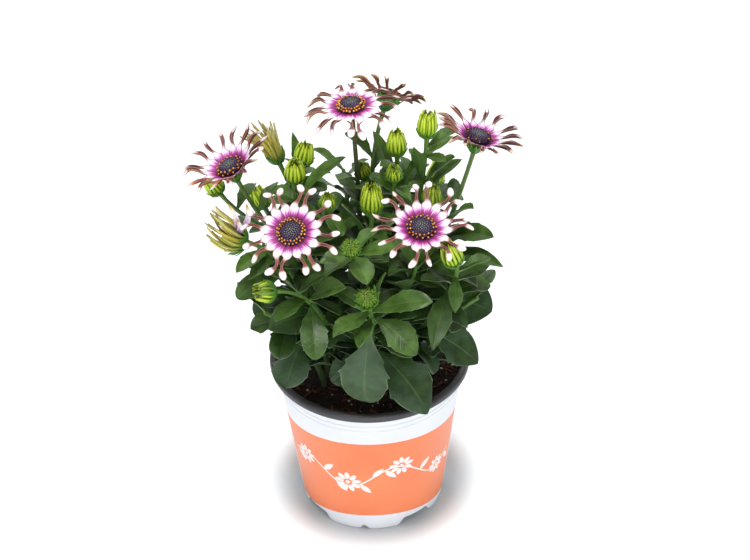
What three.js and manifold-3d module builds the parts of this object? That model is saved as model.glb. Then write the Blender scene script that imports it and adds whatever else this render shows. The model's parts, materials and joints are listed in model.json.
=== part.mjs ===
// An osteospermum with spoon-shaped rays in its plastic pot, as one standing object.
// Units are millimetres. +Z is up, and the origin is on the pot's axis in the plane that the pot stands on.
// -Y is the front of the plant, and +X is on the right when it is seen from the front.
import * as THREE from "three";
import { mergeVertices } from "three/addons/utils/BufferGeometryUtils.js";
import Module from "manifold-3d";

const wasm = await Module();
wasm.setup();

// ---------------------------------------------------------------- driving dimensions

const POT = {
  height: 113,
  rimRadius: 65, // outside of the rolled rim
  rimDepth: 5.2, // height of the rolled rim
  neckRadius: 60.6, // outside of the wall, just under the rim
  footRadius: 47, // outside of the wall, at the floor
  wall: 1.6,
  footWidth: 6,
  footHeight: 6, // height of the foot ring, and of the drainage notches in it
  padRadius: 14, // middle of the base, level with the feet
  segments: 32,
};
const SOIL = { top: 101, clearance: 0.3, bump: 1.1, rings: 3, segments: 16 };
const STEM = { baseRadius: 2.5, tipRadius: 1.5, sides: 4, steps: 5, stalkSteps: 3, planted: 12, holeRadius: 3 };
const CLEARANCE = 0.3; // between two pieces that touch
const BLADE = 0.8; // thickness of leaves
const RAY_BLADE = 0.9; // thickness of ray petals
const LEAF_SPACING = 3.7; // least distance between sample points of two leaves
const SAMPLE_STEP = 2.3; // spacing of the sample points on a leaf
const SKIRT = { low: 114, front: 0.45, rear: 0.12 }; // height on the axis and slopes of the cone under the leaves
const CORE = { centre: 170, radius: 46, height: 56 }; // the plant's middle, where no spiral leaf ends
const REACH = 85; // how far from the axis a spiral leaf may reach
const GOLDEN_ANGLE = THREE.MathUtils.degToRad(137.5);

// Half-width of a leaf along its rib, as shares of its length and of its largest half-width.
const LOWER_LEAF = [[0, 0.06], [0.44, 0.84], [0.49, 0.72], [0.76, 1.0], [1, 0.34]];
const UPPER_LEAF = [[0, 0.1], [0.42, 0.84], [0.78, 0.98], [1, 0.34]];

// Half-width of a ray petal along its rib, in mm: blade, pinched tube, spoon.
const RAY_OUTLINE = [[0.36, 2.8], [0.55, 0.9], [0.87, 2.1], [1, 1.3]];
const BLOOM = { hubRadius: 8.2, rayLength: 23, discRadius: 7.3, discHeight: 3.4, cupDepth: 8 };

// Flower heads: where the middle of each is, and the way that it faces.
// A bloom has its number of rays, how steeply they rise and how far they bend down again, in degrees, and
// their length where it isn't the usual one.
const BLOOMS = {
  bloom_a: { at: [-44, -46, 243], aim: [-0.1, -0.52, 0.86], rays: 16, rise: 14, bend: 22 },
  bloom_b: { at: [33, -44, 242], aim: [0.05, -0.32, 0.94], rays: 16, rise: 20, bend: 18 },
  bloom_c: { at: [-81, 0, 259], aim: [-0.36, -0.06, 0.93], rays: 16, rise: 36, bend: 24 },
  bloom_d: { at: [-7, 15, 291.5], aim: [-0.06, -0.02, 1], rays: 16, rise: 8, bend: 44 },
  bloom_e: { at: [69, 6, 272], aim: [0.25, 0.05, 0.96], rays: 15, rise: 28, bend: 22, ray: 21.5 },
  bloom_f: { at: [16, 46, 279], aim: [0.34, 0.62, 0.7], rays: 14, rise: 24, bend: 14, ray: 17 },
};
const BUDS = {
  bud_1: { at: [39, 14, 278], aim: [0.05, -0.05, 1], radius: 7, height: 19 },
  bud_2: { at: [20, 17, 263], aim: [-0.02, -0.05, 1], radius: 6.9, height: 18 },
  bud_3: { at: [-42, -2, 257], aim: [0.08, -0.3, 0.95], radius: 7.2, height: 18 },
  bud_4: { at: [-37, 24, 252], aim: [0.15, 0, 1], radius: 7, height: 16 },
  bud_5: { at: [4, -14, 243], aim: [0.03, -0.12, 1], radius: 7.8, height: 22 },
  bud_6: { at: [18, -4, 255], aim: [0, -0.3, 0.95], radius: 5.4, height: 13 },
  bud_7: { at: [-1, 22, 240], aim: [-0.1, -0.1, 1], radius: 5.4, height: 12 },
  bud_8: { at: [-9, -62, 242], aim: [0, -0.6, 0.8], radius: 6, height: 11 },
  bud_9: { at: [-61, -60, 210], aim: [-0.8, -0.42, 0.3], radius: 7.2, height: 14 },
  bud_10: { at: [0, -75, 214], aim: [-0.1, -0.45, 0.9], radius: 6.6, height: 12 },
  bud_11: { at: [51, -42, 221], aim: [-0.3, -0.1, 1], radius: 7.4, height: 19 },
  bud_12: { at: [41, -2, 236], aim: [0.1, -0.1, 1], radius: 6.4, height: 16 },
  bud_13: { at: [-93, 10, 240], aim: [-0.5, 0, 0.85], radius: 6.4, height: 14 },
  bud_14: { at: [46, 68, 204], aim: [0.3, 0.4, 0.9], radius: 6.8, height: 17 },
  bud_15: { at: [-68, 56, 198], aim: [-0.4, 0.3, 0.9], radius: 6.6, height: 16 },
  bud_16: { at: [-23, -12, 241], aim: [0.1, -0.25, 1], radius: 5.4, height: 12 },
};
const CLOSING = {
  closing_g: { at: [-58, 36, 252], aim: [-0.3, -0.08, 0.95], radius: 8.5, height: 30, rays: 8 },
  closing_h: { at: [-86, -24, 226], aim: [-0.85, -0.15, 0.42], radius: 9, height: 30, rays: 8 },
};

// Stems: where each is planted, the head that ends it, or its tip and the way that it points, and its leaves.
// Leaves: how many, the share of the stem where the lowest and the highest grow, and their lengths there.
const STEMS = [
  { name: "stem_front", base: [0, -25], head: "bud_10", rise: 30, run: 34, leaves: [7, 0.2, 0.97, 46, 27] },
  { name: "stem_front_left", base: [-17, -21], head: "bud_9", rise: 40, run: 34, leaves: [7, 0.14, 0.95, 46, 26] },
  { name: "stem_front_right", base: [18, -22], head: "bud_11", rise: 46, run: 20, leaves: [7, 0.14, 0.9, 46, 26] },
  { name: "stem_a", base: [-9, -14], head: "bloom_a", rise: 50, run: 46, leaves: [7, 0.2, 0.72, 40, 26] },
  { name: "stem_b", base: [10, -12], head: "bloom_b", rise: 50, run: 46, leaves: [6, 0.2, 0.72, 40, 26] },
  { name: "stem_h", base: [-27, -8], head: "closing_h", rise: 56, run: 30, leaves: [7, 0.12, 0.88, 44, 26] },
  { name: "stem_c", base: [-23, 4], head: "bloom_c", rise: 60, run: 50, leaves: [7, 0.12, 0.8, 44, 26] },
  { name: "stem_g", base: [-18, 15], head: "closing_g", rise: 60, run: 50, leaves: [7, 0.14, 0.88, 40, 26] },
  { name: "stem_3", base: [-13, 1], head: "bud_3", rise: 60, run: 46, leaves: [6, 0.36, 0.95, 36, 25] },
  { name: "stem_d", base: [-3, 4], head: "bloom_d", rise: 60, run: 60, leaves: [8, 0.36, 0.74, 34, 25] },
  { name: "stem_f", base: [6, 22], head: "bloom_f", rise: 60, run: 50, leaves: [5, 0.2, 0.78, 38, 25] },
  { name: "stem_2", base: [8, 6], head: "bud_2", rise: 60, run: 50, leaves: [8, 0.36, 0.94, 34, 25] },
  { name: "stem_1", base: [18, 8], head: "bud_1", rise: 60, run: 50, leaves: [9, 0.2, 0.94, 38, 26] },
  { name: "stem_e", base: [27, 0], head: "bloom_e", rise: 60, run: 56, leaves: [5, 0.12, 0.62, 44, 26] },
  { name: "stem_5", base: [0, -5], head: "bud_5", rise: 60, run: 40, leaves: [6, 0.4, 0.94, 36, 25] },
  { name: "stem_right", base: [28, -12], tip: [68, -30, 178], aim: [0.7, -0.2, 0.6], rise: 22, run: 24, leaves: [7, 0.1, 0.99, 46, 30] },
  { name: "stem_left", base: [-30, -18], tip: [-64, -34, 174], aim: [-0.7, -0.3, 0.6], rise: 22, run: 24, leaves: [7, 0.1, 0.99, 46, 28] },
  { name: "stem_rear", base: [-6, 30], tip: [-14, 72, 208], aim: [-0.1, 0.4, 0.9], rise: 30, run: 30, leaves: [12, 0.08, 0.99, 46, 28] },
  { name: "stem_rear_right", base: [20, 20], head: "bud_14", rise: 30, run: 30, leaves: [12, 0.08, 0.95, 46, 28] },
  { name: "stem_rear_left", base: [-20, 26], head: "bud_15", rise: 30, run: 30, leaves: [12, 0.08, 0.95, 46, 28] },
];
// Side shoots: the stem that each grows from, the share of the stem where it starts, its end and its leaves.
const SIDE_SHOOTS = [
  { name: "shoot_4", stem: "stem_g", from: 0.5, head: "bud_4", rise: 14, run: 20, leaves: [4, 0.4, 0.92, 27, 23] },
  { name: "shoot_8", stem: "stem_5", from: 0.55, head: "bud_8", rise: 12, run: 22, leaves: [3, 0.3, 0.94, 30, 24] },
  { name: "shoot_6", stem: "stem_2", from: 0.55, head: "bud_6", rise: 14, run: 20, leaves: [5, 0.4, 0.92, 26, 22] },
  { name: "shoot_7", stem: "stem_f", from: 0.52, head: "bud_7", rise: 10, run: 12, leaves: [3, 0.5, 0.9, 24, 20] },
  { name: "shoot_12", stem: "stem_e", from: 0.5, head: "bud_12", rise: 14, run: 20, leaves: [5, 0.4, 0.92, 27, 24] },
  { name: "shoot_16", stem: "stem_3", from: 0.6, head: "bud_16", rise: 10, run: 16, leaves: [2, 0.4, 0.9, 26, 22] },
  { name: "shoot_13", stem: "stem_c", from: 0.62, head: "bud_13", rise: 12, run: 20, leaves: [4, 0.4, 0.9, 27, 24] },
  { name: "shoot_a", stem: "stem_a", from: 0.45, tip: [-38, -22, 214], aim: [-0.3, -0.3, 0.9], rise: 10, run: 14, leaves: [6, 0.3, 0.99, 34, 26] },
  { name: "shoot_b", stem: "stem_b", from: 0.45, tip: [30, -36, 208], aim: [0.1, -0.4, 0.9], rise: 10, run: 14, leaves: [6, 0.3, 0.99, 34, 26] },
  { name: "shoot_f", stem: "stem_f", from: 0.45, tip: [38, 46, 232], aim: [0.4, 0.3, 0.9], rise: 14, run: 16, leaves: [5, 0.3, 0.99, 32, 25] },
];

// Leaves that give the plant its face: the shoot, the share of it where the leaf grows, the leaf's tip,
// its width, how far it bends down along its length, and its roll, in degrees.
const CHOSEN_LEAVES = [
  ["stem_front", 0.68, [-4, -66, 127], 30, 40, 20],
  ["stem_front", 0.46, [39, -69, 122], 31, 40, -10],
  ["stem_front_right", 0.38, [70, -32, 135], 24, 40, -20],
  ["stem_e", 0.3, [77, -20, 158], 32, 50, -36],
  ["stem_front", 0.82, [29, -86, 180], 18, 46, -24],
  ["stem_front", 0.88, [38, -76, 211], 14, 34, -26],
  ["stem_front", 0.88, [-21, -92, 200], 13, 36, 16],
  ["stem_front", 0.8, [-6, -94, 197], 10, 34, 0],
  ["stem_front", 0.34, [-24, -47, 127], 19, 40, 24],
  ["stem_front", 0.93, [10, -58, 221], 8, 20, 30],
  ["stem_front_right", 0.72, [38, -80, 178], 15, 46, 0],
  ["stem_front_right", 0.86, [52, -62, 190], 9, 60, 0],
  ["stem_front_right", 0.8, [75, -32, 204], 10, 30, -10],
  ["stem_front_left", 0.7, [-32, -79, 172], 16, 50, 0],
  ["stem_front_left", 0.72, [-14, -68, 217], 14, 30, -34],
  ["stem_front_left", 0.74, [-56, -71, 201], 12, 34, 10],
  ["stem_front_left", 0.56, [-61, -52, 175], 22, 50, 24],
  ["stem_left", 0.52, [-52, -50, 126], 22, 36, 10],
  ["stem_left", 0.8, [-74, -32, 160], 14, 50, 24],
  ["stem_h", 0.62, [-79, -40, 189], 14, 60, 30],
  ["stem_h", 0.82, [-81, -43, 223], 9, 50, 20],
  ["stem_h", 0.76, [-71, -42, 209], 9, 50, 20],
  ["shoot_8", 0.8, [0, -73, 219], 15, 46, 0],
  ["shoot_8", 0.86, [-24, -65, 235], 10, 30, 24],
  ["shoot_8", 0.8, [22, -60, 240], 11, 30, -24],
  ["shoot_b", 0.4, [17, -46, 209], 16, 30, 0],
  ["shoot_a", 0.9, [-30, -44, 192], 11, 50, 0],
  ["stem_5", 0.68, [-10, -14, 246], 11, 24, 0],
  ["stem_e", 0.66, [63, -16, 241], 11, 40, -10],
  ["stem_e", 0.58, [77, -20, 216], 13, 50, -24],
  ["stem_e", 0.5, [76, -31, 211], 12, 50, -20],
  ["stem_e", 0.44, [58, -41, 207], 12, 40, 0],
  ["stem_1", 0.76, [55, 10, 258], 9, 24, -10],
  ["stem_1", 0.7, [60, 24, 246], 9, 30, 0],
  ["stem_1", 0.78, [32, 6, 271], 9, 20, 10],
  ["stem_2", 0.76, [31, 22, 254], 9, 24, 0],
  ["stem_2", 0.8, [6, 28, 265], 10, 24, 0],
  ["stem_3", 0.84, [-12, 16, 256], 10, 40, 0],
  ["shoot_4", 0.6, [-43, 42, 257], 8, 20, 0],
];

// ---------------------------------------------------------------- vectors

const add = (a, b) => [a[0] + b[0], a[1] + b[1], a[2] + b[2]];
const sub = (a, b) => [a[0] - b[0], a[1] - b[1], a[2] - b[2]];
const scaled = (a, k) => [a[0] * k, a[1] * k, a[2] * k];
const dot = (a, b) => a[0] * b[0] + a[1] * b[1] + a[2] * b[2];
const cross = (a, b) => [a[1] * b[2] - a[2] * b[1], a[2] * b[0] - a[0] * b[2], a[0] * b[1] - a[1] * b[0]];
const length = (a) => Math.sqrt(dot(a, a));
const unit = (a) => scaled(a, 1 / length(a));
const mix = (a, b, t) => a + (b - a) * t;
const radians = (degrees) => (degrees * Math.PI) / 180;

// A frame [side, other side, axis] whose axis points along aim. Side lies level.
function frameOf(aim) {
  const axis = unit(aim);
  const side = Math.abs(axis[2]) > 0.9999 ? [1, 0, 0] : unit(cross([0, 0, 1], axis));
  return [side, cross(axis, side), axis];
}

// The point at local x, y, z of a frame that stands at origin.
function placed(origin, frame, x, y, z) {
  return add(origin, add(add(scaled(frame[0], x), scaled(frame[1], y)), scaled(frame[2], z)));
}

// A repeatable stream of numbers from 0 to 1.
function randomStream(seed) {
  let state = seed;
  return () => {
    state = (state * 1664525 + 1013904223) % 4294967296;
    return state / 4294967296;
  };
}

// Half-width at share s of an outline.
function widthAt(outline, s) {
  for (let i = 1; i < outline.length; i++) {
    const [s0, w0] = outline[i - 1];
    const [s1, w1] = outline[i];
    if (s <= s1) return mix(w0, w1, (s - s0) / (s1 - s0));
  }
  return outline[outline.length - 1][1];
}

// ---------------------------------------------------------------- the plan of the plant

// How far a circular arc has gone out and up at share s: it starts at angle rise and bends down by bend.
function arc(total, rise, bend, s) {
  if (Math.abs(bend) < 1e-6) return [total * s * Math.cos(rise), total * s * Math.sin(rise)];
  const k = total / bend;
  const now = rise - bend * s;
  return [k * (Math.sin(rise) - Math.sin(now)), k * (Math.cos(now) - Math.cos(rise))];
}

function bezier(p, t) {
  const a = 1 - t;
  const w = [a * a * a, 3 * a * a * t, 3 * a * t * t, t * t * t];
  return add(add(scaled(p[0], w[0]), scaled(p[1], w[1])), add(scaled(p[2], w[2]), scaled(p[3], w[3])));
}

// Each head, with its frame and the point on its underside where the stem ends.
function headsPlan() {
  const heads = {};
  for (const [name, b] of Object.entries(BLOOMS)) {
    const frame = frameOf(b.aim);
    heads[name] = { ...b, kind: "bloom", frame, foot: placed(b.at, frame, 0, 0, -BLOOM.cupDepth) };
  }
  for (const [name, b] of [...Object.entries(BUDS), ...Object.entries(CLOSING)]) {
    const frame = frameOf(b.aim);
    const kind = name in BUDS ? "bud" : "closing";
    heads[name] = { ...b, kind, frame, foot: placed(b.at, frame, 0, 0, -b.height / 2 - CLEARANCE) };
  }
  return heads;
}

// Each stem and side shoot as four Bezier points from its root to its tip, with the stem that owns it.
function shootsPlan(heads) {
  const shoots = {};
  const addShoot = (spec, owner, root, way) => {
    const tip = spec.head ? heads[spec.head].foot : spec.tip;
    const aim = spec.head ? heads[spec.head].frame[2] : unit(spec.aim);
    const path = [root, add(root, way(tip)), sub(tip, scaled(aim, spec.run)), tip];
    shoots[spec.name] = { ...spec, owner, path, planted: spec.name === owner, grown: [] };
  };
  for (const s of STEMS) {
    const root = [s.base[0], s.base[1], SOIL.top + 3];
    addShoot(s, s.name, root, (tip) => [(tip[0] - root[0]) * 0.12, (tip[1] - root[1]) * 0.12, s.rise]);
  }
  for (const k of SIDE_SHOOTS) {
    const parent = shoots[k.stem].path;
    const root = bezier(parent, k.from);
    const along = unit(sub(bezier(parent, k.from + 0.02), root));
    addShoot(k, k.stem, root, () => scaled(along, k.rise));
  }
  return shoots;
}

// A leaf from its root: the way that it grows, its angle there, and its bend, length, width and roll.
function makeLeaf(root, heading, rise, bend, size, width, roll, outline) {
  const level = [Math.sin(heading), -Math.cos(heading), 0];
  return { root, heading, rise, bend, size, width, roll, outline, level };
}

// A leaf whose tip is given.
function leafTo(root, tip, width, bend, roll, outline) {
  const d = sub(tip, root);
  const out = Math.sqrt(d[0] * d[0] + d[1] * d[1]);
  const size = (length(d) * (bend / 2)) / Math.sin(bend / 2);
  return makeLeaf(root, Math.atan2(d[1], d[0]), Math.atan2(d[2], out) + bend / 2, bend, size, width, roll, outline);
}

// The rib point, the side direction and the upward direction of a leaf at share s.
function leafFrame(leaf, s) {
  const [out, up] = arc(leaf.size, leaf.rise, leaf.bend, s);
  const angle = leaf.rise - leaf.bend * s;
  const c = Math.cos(leaf.heading);
  const d = Math.sin(leaf.heading);
  const normal = [-c * Math.sin(angle), -d * Math.sin(angle), Math.cos(angle)];
  const side = add(scaled(leaf.level, Math.cos(leaf.roll)), scaled(normal, Math.sin(leaf.roll)));
  const face = sub(scaled(normal, Math.cos(leaf.roll)), scaled(leaf.level, Math.sin(leaf.roll)));
  return [add(leaf.root, [c * out, d * out, up]), side, face];
}

// Points spread over a leaf, no further apart than SAMPLE_STEP, each with its share along the rib.
function leafSamples(leaf) {
  const samples = [];
  const rows = Math.ceil(leaf.size / SAMPLE_STEP);
  for (let i = 1; i <= rows; i++) {
    const s = i / rows;
    const half = (widthAt(leaf.outline, s) * leaf.width) / 2;
    const columns = Math.max(1, Math.ceil(half / SAMPLE_STEP));
    const [rib, side] = leafFrame(leaf, s);
    for (let j = -columns; j <= columns; j++) {
      samples.push([...add(rib, scaled(side, (half * j) / columns)), s]);
    }
  }
  return samples;
}

// Whether a point is clear of the pot and the soil, with room for a blade's thickness.
function clearOfPot(p) {
  const r = Math.sqrt(p[0] * p[0] + p[1] * p[1]);
  if (p[2] < SOIL.top + 4) return false;
  return p[2] > POT.height + 3 || r < 55 || r > POT.rimRadius + 3;
}

// Whether a point may be part of a spiral leaf: above the cone that keeps the soil and the rim in sight, within
// reach, and, at the leaf's tip, outside the dark middle of the plant.
function seen(p) {
  const out = Math.sqrt(p[0] * p[0] + p[1] * p[1]);
  const up = (p[2] - CORE.centre) / CORE.height;
  if (p[3] === 1 && (out / CORE.radius) ** 2 + up * up < 1) return false;
  return out < REACH && p[2] > SKIRT.low + (p[1] < 20 ? SKIRT.front : SKIRT.rear) * out;
}

// Everything that a leaf has to keep clear of, as points with the name of their stem and their share of a leaf.
class Surroundings {
  constructor() {
    this.cells = new Map();
  }
  cell(i, j, k) {
    return ((i + 512) * 1024 + (j + 512)) * 1024 + (k + 512);
  }
  put(p, owner, share) {
    const key = this.cell(...p.slice(0, 3).map((c) => Math.floor(c / LEAF_SPACING)));
    if (!this.cells.has(key)) this.cells.set(key, []);
    this.cells.get(key).push([p[0], p[1], p[2], owner, share]);
  }
  meets(p, owner) {
    const [x, y, z] = p.slice(0, 3).map((c) => Math.floor(c / LEAF_SPACING));
    for (let i = x - 1; i <= x + 1; i++) {
      for (let j = y - 1; j <= y + 1; j++) {
        for (let k = z - 1; k <= z + 1; k++) {
          for (const q of this.cells.get(this.cell(i, j, k)) ?? []) {
            if (q[3] === owner && q[4] < 0.32 && p[3] < 0.32) continue; // leaves on one stem meet near their roots
            const d = sub(p, q);
            if (dot(d, d) < LEAF_SPACING * LEAF_SPACING) return true;
          }
        }
      }
    }
    return false;
  }
  clear(samples, owner) {
    return samples.every((p) => clearOfPot(p) && !this.meets(p, owner));
  }
}

function rayLength(head) {
  return head.ray ?? BLOOM.rayLength;
}

// Rings of points round a head, no further apart than SAMPLE_STEP, as [radius, height above its middle].
function headRings(head) {
  const rings = [];
  if (head.kind === "bloom") {
    const long = rayLength(head);
    for (let radius = SAMPLE_STEP; radius < BLOOM.hubRadius + long + 2; radius += SAMPLE_STEP) {
      const share = Math.max(0, (radius - BLOOM.hubRadius) / long);
      const up = arc(long, radians(head.rise), radians(head.bend), share)[1];
      for (const layer of [-2.4, 0, 2.4]) rings.push([radius, up + layer * share]);
    }
    return rings;
  }
  const rows = Math.ceil(head.height / SAMPLE_STEP);
  for (let r = 0; r <= rows; r++) {
    const flare = head.kind === "bud" ? Math.sin(Math.PI * mix(0.15, 0.85, r / rows)) : mix(0.5, 1.2, r / rows);
    rings.push([head.radius * flare, head.height * (r / rows - 0.5)]);
  }
  return rings;
}

// Puts the heads and the shoots among the surroundings, before any leaf grows.
function surroundingsOf(heads, shoots) {
  const around = new Surroundings();
  for (const [name, head] of Object.entries(heads)) {
    for (const [radius, up] of headRings(head)) {
      const turns = Math.ceil((2 * Math.PI * radius) / SAMPLE_STEP);
      for (let i = 0; i < turns; i++) {
        const a = (2 * Math.PI * i) / turns;
        around.put(placed(head.at, head.frame, radius * Math.cos(a), radius * Math.sin(a), up), name, 1);
      }
    }
  }
  for (const shoot of Object.values(shoots)) {
    for (let i = 0; i <= 80; i++) around.put(bezier(shoot.path, i / 80), shoot.owner, 0);
  }
  return around;
}

// The ways that a leaf may turn, rise and shrink to find room, in the order that they are tried.
function triesOf(turns, lifts, sizes) {
  return sizes.flatMap((size) => turns.flatMap((turn) => lifts.map((lift) => [radians(turn), radians(lift), size])));
}
const SPIRAL_TRIES = triesOf([0, 18, -18, 36, -36, 54, -54], [0, 14, -14], [1, 0.86, 0.72]);
const CHOSEN_TRIES = triesOf([0, 5, -5, 10, -10, 16, -16], [0, 6, -6, 12, -12], [1, 0.92]);

// The first way of growing a leaf that is clear of all that is there, or nothing.
function fitted(leaf, tries, around, shoot, test) {
  for (const [turn, lift, size] of tries) {
    const { root, heading, rise, bend, roll, outline } = leaf;
    const tried = makeLeaf(root, heading + turn, rise + lift, bend, leaf.size * size, leaf.width * size, roll, outline);
    const samples = leafSamples(tried).filter((p) => p[3] > 0.2);
    if (samples.every(test) && around.clear(samples, shoot.owner)) return tried;
  }
  return null;
}

// Grows the leaves of every shoot: first the chosen ones, then a spiral of leaves up each shoot.
function growLeaves(shoots, around) {
  const grow = (shoot, leaf, tries, test) => {
    const grown = fitted(leaf, tries, around, shoot, test);
    if (!grown) return;
    shoot.grown.push(grown);
    for (const p of leafSamples(grown)) around.put(p, shoot.owner, p[3]);
  };
  for (const [name, from, tip, width, bend, roll] of CHOSEN_LEAVES) {
    const outline = width > 15 ? LOWER_LEAF : UPPER_LEAF;
    const leaf = leafTo(bezier(shoots[name].path, from), tip, width, radians(bend), radians(roll), outline);
    grow(shoots[name], leaf, CHOSEN_TRIES, () => true);
  }
  Object.values(shoots).forEach((shoot, index) => {
    const random = randomStream(1000 + 77 * index);
    const [count, first, last, longest, shortest] = shoot.leaves;
    const start = random() * 2 * Math.PI;
    for (let i = 0; i < count; i++) {
      const up = i / (count - 1);
      const root = bezier(shoot.path, mix(first, last, up));
      const heading = start + i * GOLDEN_ANGLE + (random() - 0.5) * 0.4;
      const outward = Math.cos(heading - Math.atan2(root[1], root[0]));
      const size = mix(longest, shortest, up) * (0.9 + 0.2 * random()) * (0.95 + 0.07 * outward);
      const width = size * mix(0.54, 0.38, up) * (0.92 + 0.16 * random());
      const rise = radians(mix(36, 64, up) + (random() - 0.5) * 16 - 10 * outward);
      const bend = radians(mix(72, 46, up) * (0.8 + 0.4 * random()));
      const roll = radians((random() - 0.5) * 24);
      const outline = width > 17 ? LOWER_LEAF : UPPER_LEAF;
      grow(shoot, makeLeaf(root, heading, rise, bend, size, width, roll, outline), SPIRAL_TRIES, seen);
    }
  });
}

// ---------------------------------------------------------------- shells

// A closed geometry from a list of triangles, each three points, turned so that its faces point out.
function geometryFrom(triangles) {
  let volume = 0;
  for (const [a, b, c] of triangles) volume += dot(a, cross(b, c));
  const flat = [];
  for (const [a, b, c] of triangles) flat.push(...(volume > 0 ? [a, b, c] : [a, c, b]).flat());
  const geometry = new THREE.BufferGeometry();
  geometry.setAttribute("position", new THREE.Float32BufferAttribute(flat, 3));
  return geometry;
}

// A shell through closed sections with the same number of points, with a flat cap at each end.
function loft(sections) {
  const triangles = [];
  const n = sections[0].length;
  for (let i = 1; i < sections.length; i++) {
    for (let j = 0; j < n; j++) {
      const k = (j + 1) % n;
      const [a, b, c, d] = [sections[i - 1][j], sections[i - 1][k], sections[i][k], sections[i][j]];
      triangles.push([a, b, c], [a, c, d]);
    }
  }
  const last = sections[sections.length - 1];
  for (let j = 1; j < n - 1; j++) {
    triangles.push([sections[0][0], sections[0][j + 1], sections[0][j]], [last[0], last[j], last[j + 1]]);
  }
  return geometryFrom(triangles);
}

// A thin blade from rows of [left, right, up]: flat across, and split alike on both faces.
function blade(rows, thickness) {
  const triangles = [];
  const corners = rows.map(([left, right, up]) => {
    const h = scaled(up, thickness / 2);
    return [add(left, h), add(right, h), sub(right, h), sub(left, h)];
  });
  for (let i = 1; i < corners.length; i++) {
    const [a, b, c, d] = corners[i - 1];
    const [e, f, g, h] = corners[i];
    triangles.push([a, b, f], [a, f, e]); // upper face, split from left to right
    triangles.push([d, g, c], [d, h, g]); // lower face, split the same way
    triangles.push([b, c, g], [b, g, f], [d, a, e], [d, e, h]);
  }
  const [a, b, c, d] = corners[0];
  const [e, f, g, h] = corners[corners.length - 1];
  triangles.push([a, c, b], [a, d, c], [e, f, g], [e, g, h]);
  return geometryFrom(triangles);
}

// A round tube along a curve, thinner towards its tip. Its first rings stand upright if it is planted.
function tube(path, from, to, steps, planted) {
  const sections = [];
  let side = [1, 0, 0];
  const ring = (centre, along, radius) => {
    side = unit(sub(side, scaled(along, dot(side, along))));
    const other = cross(along, side);
    const points = [];
    for (let j = 0; j < STEM.sides; j++) {
      const a = (2 * Math.PI * j) / STEM.sides;
      points.push(placed(centre, [side, other, along], radius * Math.cos(a), radius * Math.sin(a), 0));
    }
    sections.push(points);
  };
  if (planted) ring(add(path[0], [0, 0, -3 - STEM.planted + CLEARANCE]), [0, 0, 1], from);
  for (let i = 0; i <= steps; i++) {
    const t = i / steps;
    const before = bezier(path, Math.max(0, t - 0.01));
    const after = bezier(path, Math.min(1, t + 0.01));
    const along = planted && i === 0 ? [0, 0, 1] : unit(sub(after, before));
    ring(bezier(path, t), along, mix(from, to, t));
  }
  return loft(sections);
}

function solidOf(geometry) {
  geometry.deleteAttribute("normal");
  geometry.deleteAttribute("uv");
  const merged = mergeVertices(geometry, 1e-4);
  const mesh = new wasm.Mesh({
    numProp: 3,
    vertProperties: new Float32Array(merged.attributes.position.array),
    triVerts: new Uint32Array(merged.index.array),
  });
  return new wasm.Manifold(mesh);
}

function geometryOf(solid) {
  const mesh = solid.getMesh();
  const geometry = new THREE.BufferGeometry();
  geometry.setAttribute("position", new THREE.BufferAttribute(new Float32Array(mesh.vertProperties), 3));
  geometry.setIndex(new THREE.BufferAttribute(new Uint32Array(mesh.triVerts), 1));
  return geometry;
}

function joined(geometries) {
  return geometries.map(solidOf).reduce((whole, next) => whole.add(next));
}

// ---------------------------------------------------------------- pot and soil

// Inside radius of the pot's wall at height z.
const potInside = (z) => mix(POT.footRadius, POT.neckRadius, z / (POT.height - POT.rimDepth)) - POT.wall;

function potGeometry() {
  const { height, rimRadius, rimDepth, neckRadius, footRadius, footWidth, footHeight, padRadius } = POT;
  const neck = height - rimDepth;
  const floorTop = footHeight + POT.wall;
  const footInside = footRadius - footWidth;
  const profile = [
    [0, 0], [padRadius, 0], [padRadius + 4, footHeight], [footInside - 2.5, footHeight],
    [footInside, 0], [footRadius, 0], [neckRadius, neck], [rimRadius - 0.8, neck],
    [rimRadius, neck + 1.2], [rimRadius - 0.4, height - 1.2], [rimRadius - 2.2, height],
    [potInside(neck) + 1.2, height - 0.8], [potInside(neck), neck - 1], [potInside(floorTop), floorTop], [0, floorTop],
  ];
  const lathe = new THREE.LatheGeometry(profile.map(([r, z]) => new THREE.Vector2(r, z)), POT.segments);
  lathe.rotateX(Math.PI / 2);
  // Drainage notches: four wide ones, and a narrow one between each two.
  const position = lathe.getAttribute("position");
  for (let i = 0; i < position.count; i++) {
    const radius = Math.hypot(position.getX(i), position.getY(i));
    if (position.getZ(i) > 0.01 || radius < footInside - 1) continue;
    const turn = THREE.MathUtils.radToDeg(Math.atan2(position.getY(i), position.getX(i)));
    const step = Math.round(((turn + 360) * POT.segments) / 360) % (POT.segments / 4); // its place in its quarter
    const inWide = step >= 2 && step <= 4;
    const inNarrow = step === 7;
    if (inWide || inNarrow) position.setZ(i, inWide ? footHeight : footHeight / 2);
  }
  return lathe;
}

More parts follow.
